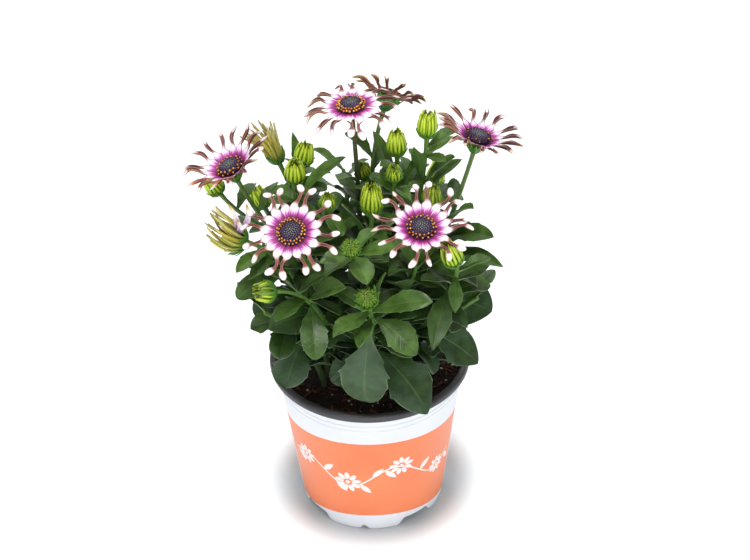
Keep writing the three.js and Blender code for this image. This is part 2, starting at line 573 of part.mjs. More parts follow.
function soilSolid() {
  const floor = POT.footHeight + POT.wall + SOIL.clearance;
  const outer = (z) => potInside(z) - SOIL.clearance - 0.2;
  const random = randomStream(5);
  const rows = [[0, floor], [outer(floor), floor], [outer(SOIL.top - 2), SOIL.top - 2]];
  for (let i = SOIL.rings; i >= 0; i--) {
    rows.push([((outer(SOIL.top) - 1) * i) / SOIL.rings, SOIL.top]);
  }
  const lathe = new THREE.LatheGeometry(rows.map(([r, z]) => new THREE.Vector2(r, z)), SOIL.segments);
  lathe.rotateX(Math.PI / 2);
  const position = lathe.getAttribute("position");
  const heights = new Map();
  for (let i = 0; i < position.count; i++) {
    const radius = Math.hypot(position.getX(i), position.getY(i));
    if (position.getZ(i) < SOIL.top - 0.01 || radius < 1) continue;
    const key = Math.round(position.getX(i) * 10) + "," + Math.round(position.getY(i) * 10);
    if (!heights.has(key)) heights.set(key, SOIL.top + (random() * 2 - 1) * SOIL.bump);
    position.setZ(i, heights.get(key));
  }
  let soil = solidOf(lathe);
  for (const stem of STEMS) {
    const hole = new THREE.CylinderGeometry(STEM.holeRadius, STEM.holeRadius, STEM.planted + 6, STEM.sides, 1, false, Math.PI / 2);
    hole.rotateX(Math.PI / 2);
    hole.translate(stem.base[0], stem.base[1], SOIL.top - STEM.planted + (STEM.planted + 6) / 2);
    soil = soil.subtract(solidOf(hole));
  }
  return soil;
}

// ---------------------------------------------------------------- stems, leaves and heads

function leafGeometry(leaf) {
  const rows = leaf.outline.map(([s, w]) => {
    const half = (w * leaf.width) / 2;
    const [rib, side, face] = leafFrame(leaf, s);
    return [sub(rib, scaled(side, half)), add(rib, scaled(side, half)), face];
  });
  return blade(rows, BLADE);
}

// The green cup under a bloom: it widens from the stem to the ray petals.
function cupGeometry(head) {
  const rings = [[1.6, -BLOOM.cupDepth - 2], [5.4, -4.6], [7.2, -RAY_BLADE / 2 - CLEARANCE]];
  const sides = 7;
  const sections = rings.map(([radius, z]) => {
    const points = [];
    for (let j = 0; j < sides; j++) {
      const a = (2 * Math.PI * j) / sides;
      points.push(placed(head.at, head.frame, radius * Math.cos(a), radius * Math.sin(a), z));
    }
    return points;
  });
  return loft(sections);
}

// A stem with its side shoots, their leaves and the cup under its bloom.
function stemSolid(stem, shoots, heads) {
  const parts = [];
  for (const shoot of Object.values(shoots).filter((k) => k.owner === stem.name)) {
    const from = shoot.planted ? STEM.baseRadius : STEM.tipRadius * 1.15;
    parts.push(tube(shoot.path, from, STEM.tipRadius, shoot.planted ? STEM.steps : STEM.stalkSteps, shoot.planted));
    if (shoot.head && heads[shoot.head].kind === "bloom") parts.push(cupGeometry(heads[shoot.head]));
    for (const leaf of shoot.grown) parts.push(leafGeometry(leaf));
  }
  return joined(parts);
}

// The ray petals of a bloom, as one flat star whose rays part at the hub's edge.
function raysGeometry(head, seed) {
  const random = randomStream(seed);
  const { hubRadius } = BLOOM;
  const n = head.rays;
  const upper = RAY_BLADE / 2;
  const triangles = [];
  const face = (a, b, c, d, z) => {
    const level = (p) => add(p, scaled(head.frame[2], z));
    if (z > 0) triangles.push([level(a), level(b), level(c)], [level(a), level(c), level(d)]);
    else triangles.push([level(a), level(c), level(b)], [level(a), level(d), level(c)]);
  };
  const wall = (a, b) => {
    const lift = scaled(head.frame[2], upper);
    triangles.push([add(a, lift), sub(a, lift), sub(b, lift)], [add(a, lift), sub(b, lift), add(b, lift)]);
  };
  const hub = [];
  for (let i = 0; i < n; i++) {
    const a = (2 * Math.PI * (i - 0.5)) / n;
    hub.push(placed(head.at, head.frame, hubRadius * Math.cos(a), hubRadius * Math.sin(a), 0));
  }
  for (let i = 0; i < n; i++) {
    const swing = (2 * Math.PI * i) / n + (random() - 0.5) * 0.03;
    const rise = radians(head.rise + (random() - 0.5) * 12);
    const bend = radians(head.bend + (random() - 0.5) * 16);
    const total = rayLength(head) * (0.94 + 0.12 * random());
    let [left, right] = [hub[i], hub[(i + 1) % n]];
    const centre = head.at;
    triangles.push([
      placed(centre, head.frame, 0, 0, upper), add(left, scaled(head.frame[2], upper)), add(right, scaled(head.frame[2], upper)),
    ], [
      placed(centre, head.frame, 0, 0, -upper), sub(right, scaled(head.frame[2], upper)), sub(left, scaled(head.frame[2], upper)),
    ]);
    for (const [s, half] of RAY_OUTLINE) {
      const [out, up] = arc(total, rise, bend, s);
      const r = hubRadius * Math.cos(Math.PI / n) + out;
      const at = (w) => placed(head.at, head.frame, r * Math.cos(swing) - w * Math.sin(swing), r * Math.sin(swing) + w * Math.cos(swing), up);
      const [nextLeft, nextRight] = [at(-half), at(half)];
      face(left, nextLeft, nextRight, right, upper);
      face(left, nextLeft, nextRight, right, -upper);
      wall(left, nextLeft);
      wall(nextRight, right);
      [left, right] = [nextLeft, nextRight];
    }
    wall(left, right);
  }
  return geometryFrom(triangles);
}

// A dome of florets: rings of bumps on a round disc, with raised anthers round its edge.
function discGeometry(head) {
  const { discRadius, discHeight } = BLOOM;
  const low = RAY_BLADE / 2 + CLEARANCE;
  const rings = [[discRadius, low, 0], [discRadius, low + 1.2, 0.5], [discRadius * 0.74, low + 2.1, 0.35], [discRadius * 0.4, low + 3, 0.3]];
  const n = 12;
  const sections = rings.map(([radius, z, bump], row) => {
    const points = [];
    for (let j = 0; j < n; j++) {
      const a = (2 * Math.PI * j) / n;
      const lift = (j + row) % 2 ? bump : -bump;
      points.push(placed(head.at, head.frame, radius * Math.cos(a), radius * Math.sin(a), z + lift));
    }
    return points;
  });
  const triangles = [];
  const top = placed(head.at, head.frame, 0, 0, low + discHeight);
  const bottom = placed(head.at, head.frame, 0, 0, low);
  for (let i = 1; i < sections.length; i++) {
    for (let j = 0; j < n; j++) {
      const k = (j + 1) % n;
      const [a, b, c, d] = [sections[i - 1][j], sections[i - 1][k], sections[i][k], sections[i][j]];
      triangles.push([a, b, c], [a, c, d]);
    }
  }
  for (let j = 0; j < n; j++) {
    const k = (j + 1) % n;
    triangles.push([bottom, sections[0][k], sections[0][j]], [top, sections[rings.length - 1][j], sections[rings.length - 1][k]]);
  }
  return geometryFrom(triangles);
}

// A bud: folded rays as ridges round an egg, each ending in a free point.
function budGeometry(head) {
  const n = 12;
  const rings = [[0.3, 0, 1, 0], [0.95, 0.26, 0.9, 0], [0.92, 0.62, 0.82, 0], [0.54, 0.86, 0.6, 0.14]];
  const low = -head.height / 2;
  const sections = rings.map(([radius, share, groove, tooth]) => {
    const points = [];
    for (let j = 0; j < n; j++) {
      const a = (2 * Math.PI * j) / n;
      const r = head.radius * radius * (j % 2 ? groove : 1);
      const z = low + head.height * (share + (j % 2 ? -tooth / 2 : tooth));
      points.push(placed(head.at, head.frame, r * Math.cos(a), r * Math.sin(a), z));
    }
    return points;
  });
  const triangles = [];
  const top = placed(head.at, head.frame, 0, 0, low + head.height * 0.8);
  const bottom = placed(head.at, head.frame, 0, 0, low);
  for (let i = 1; i < sections.length; i++) {
    for (let j = 0; j < n; j++) {
      const k = (j + 1) % n;
      const [a, b, c, d] = [sections[i - 1][j], sections[i - 1][k], sections[i][k], sections[i][j]];
      triangles.push([a, b, c], [a, c, d]);
    }
  }
  for (let j = 0; j < n; j++) {
    const k = (j + 1) % n;
    triangles.push([bottom, sections[0][k], sections[0][j]], [top, sections[rings.length - 1][j], sections[rings.length - 1][k]]);
  }
  return geometryFrom(triangles);
}

// A closing bloom: a cup of bracts with folded rays that stand out of it as a brush.
function closingSolid(head) {
  const low = -head.height / 2;
  const sides = 8;
  const rings = [[0.24, 0], [0.72, 0.14], [0.86, 0.36], [0.5, 0.56]];
  const sections = rings.map(([radius, share]) => {
    const points = [];
    for (let j = 0; j < sides; j++) {
      const a = (2 * Math.PI * j) / sides;
      const r = head.radius * radius;
      points.push(placed(head.at, head.frame, r * Math.cos(a), r * Math.sin(a), low + head.height * share));
    }
    return points;
  });
  const parts = [loft(sections)];
  for (let i = 0; i < head.rays; i++) {
    const a = (2 * Math.PI * i) / head.rays;
    const rows = [[0.62, 0.3, 2.1], [0.86, 0.7, 1.8], [1.16, 1.0, 0.6]].map(([radius, share, half]) => {
      const r = head.radius * radius;
      const z = low + head.height * share;
      const at = (w) => placed(head.at, head.frame, r * Math.cos(a) - w * Math.sin(a), r * Math.sin(a) + w * Math.cos(a), z);
      const outward = add(scaled(head.frame[0], Math.cos(a)), scaled(head.frame[1], Math.sin(a)));
      return [at(-half), at(half), outward];
    });
    parts.push(blade(rows, RAY_BLADE));
  }
  return joined(parts);
}

// ---------------------------------------------------------------- the object

const material = (color, roughness) => new THREE.MeshStandardMaterial({ color, roughness, metalness: 0 });
const MATERIALS = {
  pot: material(0xe9ecf4, 0.45),
  soil: material(0x2a1a14, 0.95),
  leaf: material(0x2f5a22, 0.45),
  rays: material(0xf3e6f1, 0.5),
  disc: material(0x4b3a5e, 0.7),
  bud: material(0x8fae24, 0.5),
  closing: material(0x8a8a34, 0.6),
};

const heads = headsPlan();
const shoots = shootsPlan(heads);
growLeaves(shoots, surroundingsOf(heads, shoots));

const plant = new THREE.Group();

function addPiece(name, geometry, kind) {
  const mesh = new THREE.Mesh(geometry, MATERIALS[kind]);
  mesh.name = name;
  plant.add(mesh);
}

addPiece("pot", potGeometry(), "pot");
addPiece("soil", geometryOf(soilSolid()), "soil");
for (const stem of STEMS) addPiece(stem.name, geometryOf(stemSolid(stem, shoots, heads)), "leaf");
Object.entries(heads).forEach(([name, head], index) => {
  if (head.kind === "bloom") {
    addPiece(name + "_rays", raysGeometry(head, 40 + index), "rays");
    addPiece(name + "_disc", discGeometry(head), "disc");
  } else if (head.kind === "bud") {
    addPiece(name, budGeometry(head), "bud");
  } else {
    addPiece(name, geometryOf(closingSolid(head)), "closing");
  }
});

export default plant;
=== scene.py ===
"""The looks of an osteospermum with spoon-shaped rays in its plastic pot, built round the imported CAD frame.

The plan of the plant, its heads, stems and leaves, follows the same rule as the CAD solids, in millimetres,
so that each piece here is a finer form of the node that it replaces. Points are turned into metres once, when
a piece's mesh is made. Small infill leaves fill the inside of the plant.
"""
import json
import math

import bpy
import numpy as np
from mathutils import Matrix, Vector, noise

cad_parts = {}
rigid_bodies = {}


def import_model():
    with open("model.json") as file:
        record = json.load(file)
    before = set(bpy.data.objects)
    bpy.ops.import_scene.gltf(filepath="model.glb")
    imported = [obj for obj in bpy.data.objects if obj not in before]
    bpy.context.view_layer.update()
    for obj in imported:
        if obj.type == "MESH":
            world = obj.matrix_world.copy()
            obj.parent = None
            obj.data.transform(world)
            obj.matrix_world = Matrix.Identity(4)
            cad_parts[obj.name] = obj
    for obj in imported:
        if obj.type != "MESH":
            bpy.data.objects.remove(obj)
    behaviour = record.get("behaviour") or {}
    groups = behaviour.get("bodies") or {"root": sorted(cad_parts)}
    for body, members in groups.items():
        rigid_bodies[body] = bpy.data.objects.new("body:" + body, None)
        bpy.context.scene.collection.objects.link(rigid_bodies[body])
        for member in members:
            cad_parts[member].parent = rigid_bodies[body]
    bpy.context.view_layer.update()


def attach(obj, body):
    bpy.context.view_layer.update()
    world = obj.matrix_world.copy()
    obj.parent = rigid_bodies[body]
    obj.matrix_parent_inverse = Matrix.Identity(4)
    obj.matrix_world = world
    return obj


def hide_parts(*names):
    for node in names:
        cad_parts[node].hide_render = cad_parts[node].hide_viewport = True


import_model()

MM = 0.001

# ---------------------------------------------------------------- driving dimensions, as in the CAD source

POT = dict(height=113, rim_radius=65, rim_depth=5.2, neck_radius=60.6, foot_radius=47, wall=1.6,
           foot_width=6, foot_height=6, pad_radius=14)
SOIL_TOP = 101
STEM = dict(base_radius=2.1, tip_radius=1.3, planted=12, above=3)
CLEARANCE = 0.3
LEAF_SPACING = 3.7
INFILL_SPACING = 2.5
SAMPLE_STEP = 2.3
SKIRT = dict(low=114, front=0.45, rear=0.12, rear_from=20)
CORE = dict(centre=170, radius=46, height=56)
REACH = 85
GOLDEN_ANGLE = math.radians(137.5)
# Leaves keep clear of the pot's rim and of the soil, and small ones stay inside the plant.
LEAVES_CLEAR = dict(soil=4, rim=3, inside=55)
INFILL = dict(radius=64, low=110, slope=0.3, high=260)
# Leaves on one stem may touch over this share of their length from the root, and nearer to it none is tested.
TOUCHING_SHARE, ROOT_SHARE = 0.32, 0.2
# How a spiral leaf changes from the lowest of its shoot to the highest: its width as a share of its length,
# and its rise and its bend in degrees. A leaf over the wide width, in mm, has the lower leaves' outline.
TREND = dict(width=(0.54, 0.38), rise=(36, 64), bend=(72, 46), wide=17, wide_chosen=15)
# Infill leaves: how many, and the shares of the shoot where they start and end.
INFILL_LEAVES = dict(side_shoot=(9, 0.1, 0.86), flower_stem=(17, 0.06, 0.72), other_stem=(22, 0.06, 0.9))
SEED = dict(spiral=1000, infill=300, cup=900, leaf=5000, infill_leaf=50000, rays=40, disc=70, bud=100,
            closing=140, soil=5)

LOWER_LEAF = ((0, 0.06), (0.44, 0.84), (0.49, 0.72), (0.76, 1.0), (1, 0.34))
UPPER_LEAF = ((0, 0.1), (0.42, 0.84), (0.78, 0.98), (1, 0.34))
BLOOM = dict(hub_radius=8.2, ray_length=23, disc_radius=7.3, cup_depth=8, blade=0.9)

# Flower heads: where the middle of each is and the way that it faces; for a bloom, its rays, how steeply they
# rise and how far they bend down again, in degrees, and their length where it isn't the usual one.
BLOOMS = {
    "bloom_a": dict(at=(-44, -46, 243), aim=(-0.1, -0.52, 0.86), rays=16, rise=14, bend=22),
    "bloom_b": dict(at=(33, -44, 242), aim=(0.05, -0.32, 0.94), rays=16, rise=20, bend=18),
    "bloom_c": dict(at=(-81, 0, 259), aim=(-0.36, -0.06, 0.93), rays=16, rise=36, bend=24),
    "bloom_d": dict(at=(-7, 15, 291.5), aim=(-0.06, -0.02, 1), rays=16, rise=8, bend=44),
    "bloom_e": dict(at=(69, 6, 272), aim=(0.25, 0.05, 0.96), rays=15, rise=28, bend=22, ray=21.5),
    "bloom_f": dict(at=(16, 46, 279), aim=(0.34, 0.62, 0.7), rays=14, rise=24, bend=14, ray=17),
}
BUDS = {
    "bud_1": dict(at=(39, 14, 278), aim=(0.05, -0.05, 1), radius=7, height=19),
    "bud_2": dict(at=(20, 17, 263), aim=(-0.02, -0.05, 1), radius=6.9, height=18),
    "bud_3": dict(at=(-42, -2, 257), aim=(0.08, -0.3, 0.95), radius=7.2, height=18),
    "bud_4": dict(at=(-37, 24, 252), aim=(0.15, 0, 1), radius=7, height=16),
    "bud_5": dict(at=(4, -14, 243), aim=(0.03, -0.12, 1), radius=7.8, height=22),
    "bud_6": dict(at=(18, -4, 255), aim=(0, -0.3, 0.95), radius=5.4, height=13),
    "bud_7": dict(at=(-1, 22, 240), aim=(-0.1, -0.1, 1), radius=5.4, height=12),
    "bud_8": dict(at=(-9, -62, 242), aim=(0, -0.6, 0.8), radius=6, height=11),
    "bud_9": dict(at=(-61, -60, 210), aim=(-0.8, -0.42, 0.3), radius=7.2, height=14),
    "bud_10": dict(at=(0, -75, 214), aim=(-0.1, -0.45, 0.9), radius=6.6, height=12),
    "bud_11": dict(at=(51, -42, 221), aim=(-0.3, -0.1, 1), radius=7.4, height=19),
    "bud_12": dict(at=(41, -2, 236), aim=(0.1, -0.1, 1), radius=6.4, height=16),
    "bud_13": dict(at=(-93, 10, 240), aim=(-0.5, 0, 0.85), radius=6.4, height=14),
    "bud_14": dict(at=(46, 68, 204), aim=(0.3, 0.4, 0.9), radius=6.8, height=17),
    "bud_15": dict(at=(-68, 56, 198), aim=(-0.4, 0.3, 0.9), radius=6.6, height=16),
    "bud_16": dict(at=(-23, -12, 241), aim=(0.1, -0.25, 1), radius=5.4, height=12),
}
CLOSING = {
    "closing_g": dict(at=(-58, 36, 252), aim=(-0.3, -0.08, 0.95), radius=8.5, height=30),
    "closing_h": dict(at=(-86, -24, 226), aim=(-0.85, -0.15, 0.42), radius=9, height=30),
}

# Stems: name, where it is planted, its head or its tip and the way that it points, how far its curve rises
# and runs, and its leaves: how many, the shares of the stem where they start and end, and their lengths
# there.
STEMS = (
    ("stem_front", (0, -25), "bud_10", 30, 34, (7, 0.2, 0.97, 46, 27)),
    ("stem_front_left", (-17, -21), "bud_9", 40, 34, (7, 0.14, 0.95, 46, 26)),
    ("stem_front_right", (18, -22), "bud_11", 46, 20, (7, 0.14, 0.9, 46, 26)),
    ("stem_a", (-9, -14), "bloom_a", 50, 46, (7, 0.2, 0.72, 40, 26)),
    ("stem_b", (10, -12), "bloom_b", 50, 46, (6, 0.2, 0.72, 40, 26)),
    ("stem_h", (-27, -8), "closing_h", 56, 30, (7, 0.12, 0.88, 44, 26)),
    ("stem_c", (-23, 4), "bloom_c", 60, 50, (7, 0.12, 0.8, 44, 26)),
    ("stem_g", (-18, 15), "closing_g", 60, 50, (7, 0.14, 0.88, 40, 26)),
    ("stem_3", (-13, 1), "bud_3", 60, 46, (6, 0.36, 0.95, 36, 25)),
    ("stem_d", (-3, 4), "bloom_d", 60, 60, (8, 0.36, 0.74, 34, 25)),
    ("stem_f", (6, 22), "bloom_f", 60, 50, (5, 0.2, 0.78, 38, 25)),
    ("stem_2", (8, 6), "bud_2", 60, 50, (8, 0.36, 0.94, 34, 25)),
    ("stem_1", (18, 8), "bud_1", 60, 50, (9, 0.2, 0.94, 38, 26)),
    ("stem_e", (27, 0), "bloom_e", 60, 56, (5, 0.12, 0.62, 44, 26)),
    ("stem_5", (0, -5), "bud_5", 60, 40, (6, 0.4, 0.94, 36, 25)),
    ("stem_right", (28, -12), ((68, -30, 178), (0.7, -0.2, 0.6)), 22, 24, (7, 0.1, 0.99, 46, 30)),
    ("stem_left", (-30, -18), ((-64, -34, 174), (-0.7, -0.3, 0.6)), 22, 24, (7, 0.1, 0.99, 46, 28)),
    ("stem_rear", (-6, 30), ((-14, 72, 208), (-0.1, 0.4, 0.9)), 30, 30, (12, 0.08, 0.99, 46, 28)),
    ("stem_rear_right", (20, 20), "bud_14", 30, 30, (12, 0.08, 0.95, 46, 28)),
    ("stem_rear_left", (-20, 26), "bud_15", 30, 30, (12, 0.08, 0.95, 46, 28)),
)
# Side shoots: name, the stem that it grows from and the share of it where it starts, and the rest as above.
SIDE_SHOOTS = (
    ("shoot_4", ("stem_g", 0.5), "bud_4", 14, 20, (4, 0.4, 0.92, 27, 23)),
    ("shoot_8", ("stem_5", 0.55), "bud_8", 12, 22, (3, 0.3, 0.94, 30, 24)),
    ("shoot_6", ("stem_2", 0.55), "bud_6", 14, 20, (5, 0.4, 0.92, 26, 22)),
    ("shoot_7", ("stem_f", 0.52), "bud_7", 10, 12, (3, 0.5, 0.9, 24, 20)),
    ("shoot_12", ("stem_e", 0.5), "bud_12", 14, 20, (5, 0.4, 0.92, 27, 24)),
    ("shoot_16", ("stem_3", 0.6), "bud_16", 10, 16, (2, 0.4, 0.9, 26, 22)),
    ("shoot_13", ("stem_c", 0.62), "bud_13", 12, 20, (4, 0.4, 0.9, 27, 24)),
    ("shoot_a", ("stem_a", 0.45), ((-38, -22, 214), (-0.3, -0.3, 0.9)), 10, 14, (6, 0.3, 0.99, 34, 26)),
    ("shoot_b", ("stem_b", 0.45), ((30, -36, 208), (0.1, -0.4, 0.9)), 10, 14, (6, 0.3, 0.99, 34, 26)),
    ("shoot_f", ("stem_f", 0.45), ((38, 46, 232), (0.4, 0.3, 0.9)), 14, 16, (5, 0.3, 0.99, 32, 25)),
)

# Leaves that give the plant its face: the shoot, the share of it where the leaf grows, the leaf's tip, its
# width, how far it bends down along its length, and its roll, in degrees.
CHOSEN_LEAVES = (
    ("stem_front", 0.68, (-4, -66, 127), 30, 40, 20),
    ("stem_front", 0.46, (39, -69, 122), 31, 40, -10),
    ("stem_front_right", 0.38, (70, -32, 135), 24, 40, -20),
    ("stem_e", 0.3, (77, -20, 158), 32, 50, -36),
    ("stem_front", 0.82, (29, -86, 180), 18, 46, -24),
    ("stem_front", 0.88, (38, -76, 211), 14, 34, -26),
    ("stem_front", 0.88, (-21, -92, 200), 13, 36, 16),
    ("stem_front", 0.8, (-6, -94, 197), 10, 34, 0),
    ("stem_front", 0.34, (-24, -47, 127), 19, 40, 24),
    ("stem_front", 0.93, (10, -58, 221), 8, 20, 30),
    ("stem_front_right", 0.72, (38, -80, 178), 15, 46, 0),
    ("stem_front_right", 0.86, (52, -62, 190), 9, 60, 0),
    ("stem_front_right", 0.8, (75, -32, 204), 10, 30, -10),
    ("stem_front_left", 0.7, (-32, -79, 172), 16, 50, 0),
    ("stem_front_left", 0.72, (-14, -68, 217), 14, 30, -34),
    ("stem_front_left", 0.74, (-56, -71, 201), 12, 34, 10),
    ("stem_front_left", 0.56, (-61, -52, 175), 22, 50, 24),
    ("stem_left", 0.52, (-52, -50, 126), 22, 36, 10),
    ("stem_left", 0.8, (-74, -32, 160), 14, 50, 24),
    ("stem_h", 0.62, (-79, -40, 189), 14, 60, 30),
    ("stem_h", 0.82, (-81, -43, 223), 9, 50, 20),
    ("stem_h", 0.76, (-71, -42, 209), 9, 50, 20),
    ("shoot_8", 0.8, (0, -73, 219), 15, 46, 0),
    ("shoot_8", 0.86, (-24, -65, 235), 10, 30, 24),
    ("shoot_8", 0.8, (22, -60, 240), 11, 30, -24),
    ("shoot_b", 0.4, (17, -46, 209), 16, 30, 0),
    ("shoot_a", 0.9, (-30, -44, 192), 11, 50, 0),
    ("stem_5", 0.68, (-10, -14, 246), 11, 24, 0),
    ("stem_e", 0.66, (63, -16, 241), 11, 40, -10),
    ("stem_e", 0.58, (77, -20, 216), 13, 50, -24),
    ("stem_e", 0.5, (76, -31, 211), 12, 50, -20),
    ("stem_e", 0.44, (58, -41, 207), 12, 40, 0),
    ("stem_1", 0.76, (55, 10, 258), 9, 24, -10),
    ("stem_1", 0.7, (60, 24, 246), 9, 30, 0),
    ("stem_1", 0.78, (32, 6, 271), 9, 20, 10),
    ("stem_2", 0.76, (31, 22, 254), 9, 24, 0),
    ("stem_2", 0.8, (6, 28, 265), 10, 24, 0),
    ("stem_3", 0.84, (-12, 16, 256), 10, 40, 0),
    ("shoot_4", 0.6, (-43, 42, 257), 8, 20, 0),
)

# ---------------------------------------------------------------- small helpers


def add(a, b):
    return (a[0] + b[0], a[1] + b[1], a[2] + b[2])


def sub(a, b):
    return (a[0] - b[0], a[1] - b[1], a[2] - b[2])


def scaled(a, k):
    return (a[0] * k, a[1] * k, a[2] * k)


def dot(a, b):
    return a[0] * b[0] + a[1] * b[1] + a[2] * b[2]


def cross(a, b):
    return (a[1] * b[2] - a[2] * b[1], a[2] * b[0] - a[0] * b[2], a[0] * b[1] - a[1] * b[0])


def length(a):
    return math.sqrt(dot(a, a))


def unit(a):
    return scaled(a, 1 / length(a))


def mix(a, b, t):
    return a + (b - a) * t


def smooth(low, high, x):
    """0 below low, 1 above high, and a soft step between, for numbers or arrays."""
    t = np.clip((x - low) / (high - low), 0, 1)
    return t * t * (3 - 2 * t)


def frame_of(aim):
    """Side, other side and axis of a frame whose axis points along aim. Side lies level."""
    axis = unit(aim)
    side = (1, 0, 0) if abs(axis[2]) > 0.9999 else unit(cross((0, 0, 1), axis))
    return (side, cross(axis, side), axis)


def placed(origin, axes, x, y, z):
    return add(origin, add(add(scaled(axes[0], x), scaled(axes[1], y)), scaled(axes[2], z)))


def random_stream(seed):
    """A repeatable stream of numbers from 0 to 1."""
    state = seed
    while True:
        state = (state * 1664525 + 1013904223) % 4294967296
        yield state / 4294967296


# ---------------------------------------------------------------- the plan of the plant


def arc(total, rise, bend, s):
    """How far a circular arc has gone out and up at share s. Works on numbers and arrays."""
    if abs(bend) < 1e-6:
        return total * s * math.cos(rise), total * s * math.sin(rise)
    k = total / bend
    now = rise - bend * s
    cosine, sine = (np.cos(now), np.sin(now)) if isinstance(s, np.ndarray) else (math.cos(now), math.sin(now))
    return k * (math.sin(rise) - sine), k * (cosine - math.cos(rise))


def bezier(p, t):
    a = 1 - t
    w = (a * a * a, 3 * a * a * t, 3 * a * t * t, t * t * t)
    return add(add(scaled(p[0], w[0]), scaled(p[1], w[1])), add(scaled(p[2], w[2]), scaled(p[3], w[3])))


def width_at(outline, s):
    for (s0, w0), (s1, w1) in zip(outline, outline[1:]):
        if s <= s1:
            return mix(w0, w1, (s - s0) / (s1 - s0))
    return outline[-1][1]


def plan_heads():
    """Each head, with its frame and the point on its underside where the stem ends."""
    heads = {}
    for kind, group in (("bloom", BLOOMS), ("bud", BUDS), ("closing", CLOSING)):
        for name, head in group.items():
            axes = frame_of(head["aim"])
            depth = BLOOM["cup_depth"] if kind == "bloom" else head["height"] / 2 + CLEARANCE
            heads[name] = dict(head, kind=kind, axes=axes, foot=placed(head["at"], axes, 0, 0, -depth))
    return heads


def plan_shoots(heads):
    """Each stem and side shoot as four Bezier points from its root to its tip, with the stem that owns it."""
    shoots = {}

    def grow(name, end, run, leaves, owner, root, way):
        head = end if isinstance(end, str) else None
        tip, aim = (heads[head]["foot"], heads[head]["axes"][2]) if head else (end[0], unit(end[1]))
        path = (root, add(root, way(tip)), sub(tip, scaled(aim, run)), tip)
        shoots[name] = dict(name=name, head=head, leaves=leaves, owner=owner, path=path,
                            planted=name == owner, grown=[])

    for name, base, end, rise, run, leaves in STEMS:
        root = (base[0], base[1], SOIL_TOP + STEM["above"])
        way = lambda tip: ((tip[0] - root[0]) * 0.12, (tip[1] - root[1]) * 0.12, rise)
        grow(name, end, run, leaves, name, root, way)
    for name, (stem, start), end, rise, run, leaves in SIDE_SHOOTS:
        parent = shoots[stem]["path"]
        root = bezier(parent, start)
        along = unit(sub(bezier(parent, start + 0.02), root))
        grow(name, end, run, leaves, stem, root, lambda tip: scaled(along, rise))
    return shoots


class Leaf:
    """A leaf from its root: the way that it grows, its angle there, and its bend, length, width and roll."""

    def __init__(self, root, heading, rise, bend, size, width, roll, outline):
        self.root, self.heading, self.rise, self.bend = root, heading, rise, bend
        self.size, self.width, self.roll, self.outline = size, width, roll, outline
        self.level = (math.sin(heading), -math.cos(heading), 0)
        self.tone = 0.5

    @classmethod
    def to(cls, root, tip, width, bend, roll, outline):
        """A leaf whose tip is given."""
        d = sub(tip, root)
        out = math.sqrt(d[0] * d[0] + d[1] * d[1])
        size = (length(d) * (bend / 2)) / math.sin(bend / 2)
        heading, rise = math.atan2(d[1], d[0]), math.atan2(d[2], out) + bend / 2
        return cls(root, heading, rise, bend, size, width, roll, outline)

    def varied(self, turn, lift, size):
        return Leaf(self.root, self.heading + turn, self.rise + lift, self.bend, self.size * size,
                    self.width * size, self.roll, self.outline)

    def row(self, s):
        """The rib point and the side direction at share s."""
        out, up = arc(self.size, self.rise, self.bend, s)
        angle = self.rise - self.bend * s
        c, d = math.cos(self.heading), math.sin(self.heading)
        normal = (-c * math.sin(angle), -d * math.sin(angle), math.cos(angle))
        side = add(scaled(self.level, math.cos(self.roll)), scaled(normal, math.sin(self.roll)))
        return add(self.root, (c * out, d * out, up)), side

    def samples(self):
        """Points spread over the leaf, each with its share along the rib."""
        rows = math.ceil(self.size / SAMPLE_STEP)
        for i in range(1, rows + 1):
            s = i / rows
            half = (width_at(self.outline, s) * self.width) / 2
            columns = max(1, math.ceil(half / SAMPLE_STEP))
            rib, side = self.row(s)
            for j in range(-columns, columns + 1):
                yield (*add(rib, scaled(side, (half * j) / columns)), s)


def clear_of_pot(p):
    r = math.sqrt(p[0] * p[0] + p[1] * p[1])
    if p[2] < SOIL_TOP + LEAVES_CLEAR["soil"]:
        return False
    over = p[2] > POT["height"] + LEAVES_CLEAR["rim"]
    return over or r < LEAVES_CLEAR["inside"] or r > POT["rim_radius"] + LEAVES_CLEAR["rim"]


def seen(p):
    """Whether a point may be part of a spiral leaf of the CAD plan."""
    out = math.sqrt(p[0] * p[0] + p[1] * p[1])
    up = (p[2] - CORE["centre"]) / CORE["height"]
    if p[3] == 1 and (out / CORE["radius"]) ** 2 + up * up < 1:
        return False
    slope = SKIRT["front"] if p[1] < SKIRT["rear_from"] else SKIRT["rear"]
    return out < REACH and p[2] > SKIRT["low"] + slope * out


def anywhere(p):
    return True


class Surroundings:
    """Points that a leaf has to keep clear of. Each is filed in its own cell and in the 26 cells round it."""

    def __init__(self):
        self.cells = {}

    @staticmethod
    def cell(p):
        return tuple(math.floor(c / LEAF_SPACING) for c in p[:3])

    def put(self, p, owner, share):
        x, y, z = self.cell(p)
        entry = (p[0], p[1], p[2], owner, share)
        for i in (x - 1, x, x + 1):
            for j in (y - 1, y, y + 1):
                for k in (z - 1, z, z + 1):
                    self.cells.setdefault((i, j, k), []).append(entry)

    def put_leaf(self, leaf, owner):
        for p in leaf.samples():
            self.put(p, owner, p[3])

    def meets(self, p, owner, spacing):
        for q in self.cells.get(self.cell(p), ()):
            if q[3] == owner and q[4] < TOUCHING_SHARE and p[3] < TOUCHING_SHARE:
                continue
            if (p[0] - q[0]) ** 2 + (p[1] - q[1]) ** 2 + (p[2] - q[2]) ** 2 < spacing * spacing:
                return True
        return False


def ray_length(head):
    return head.get("ray", BLOOM["ray_length"])


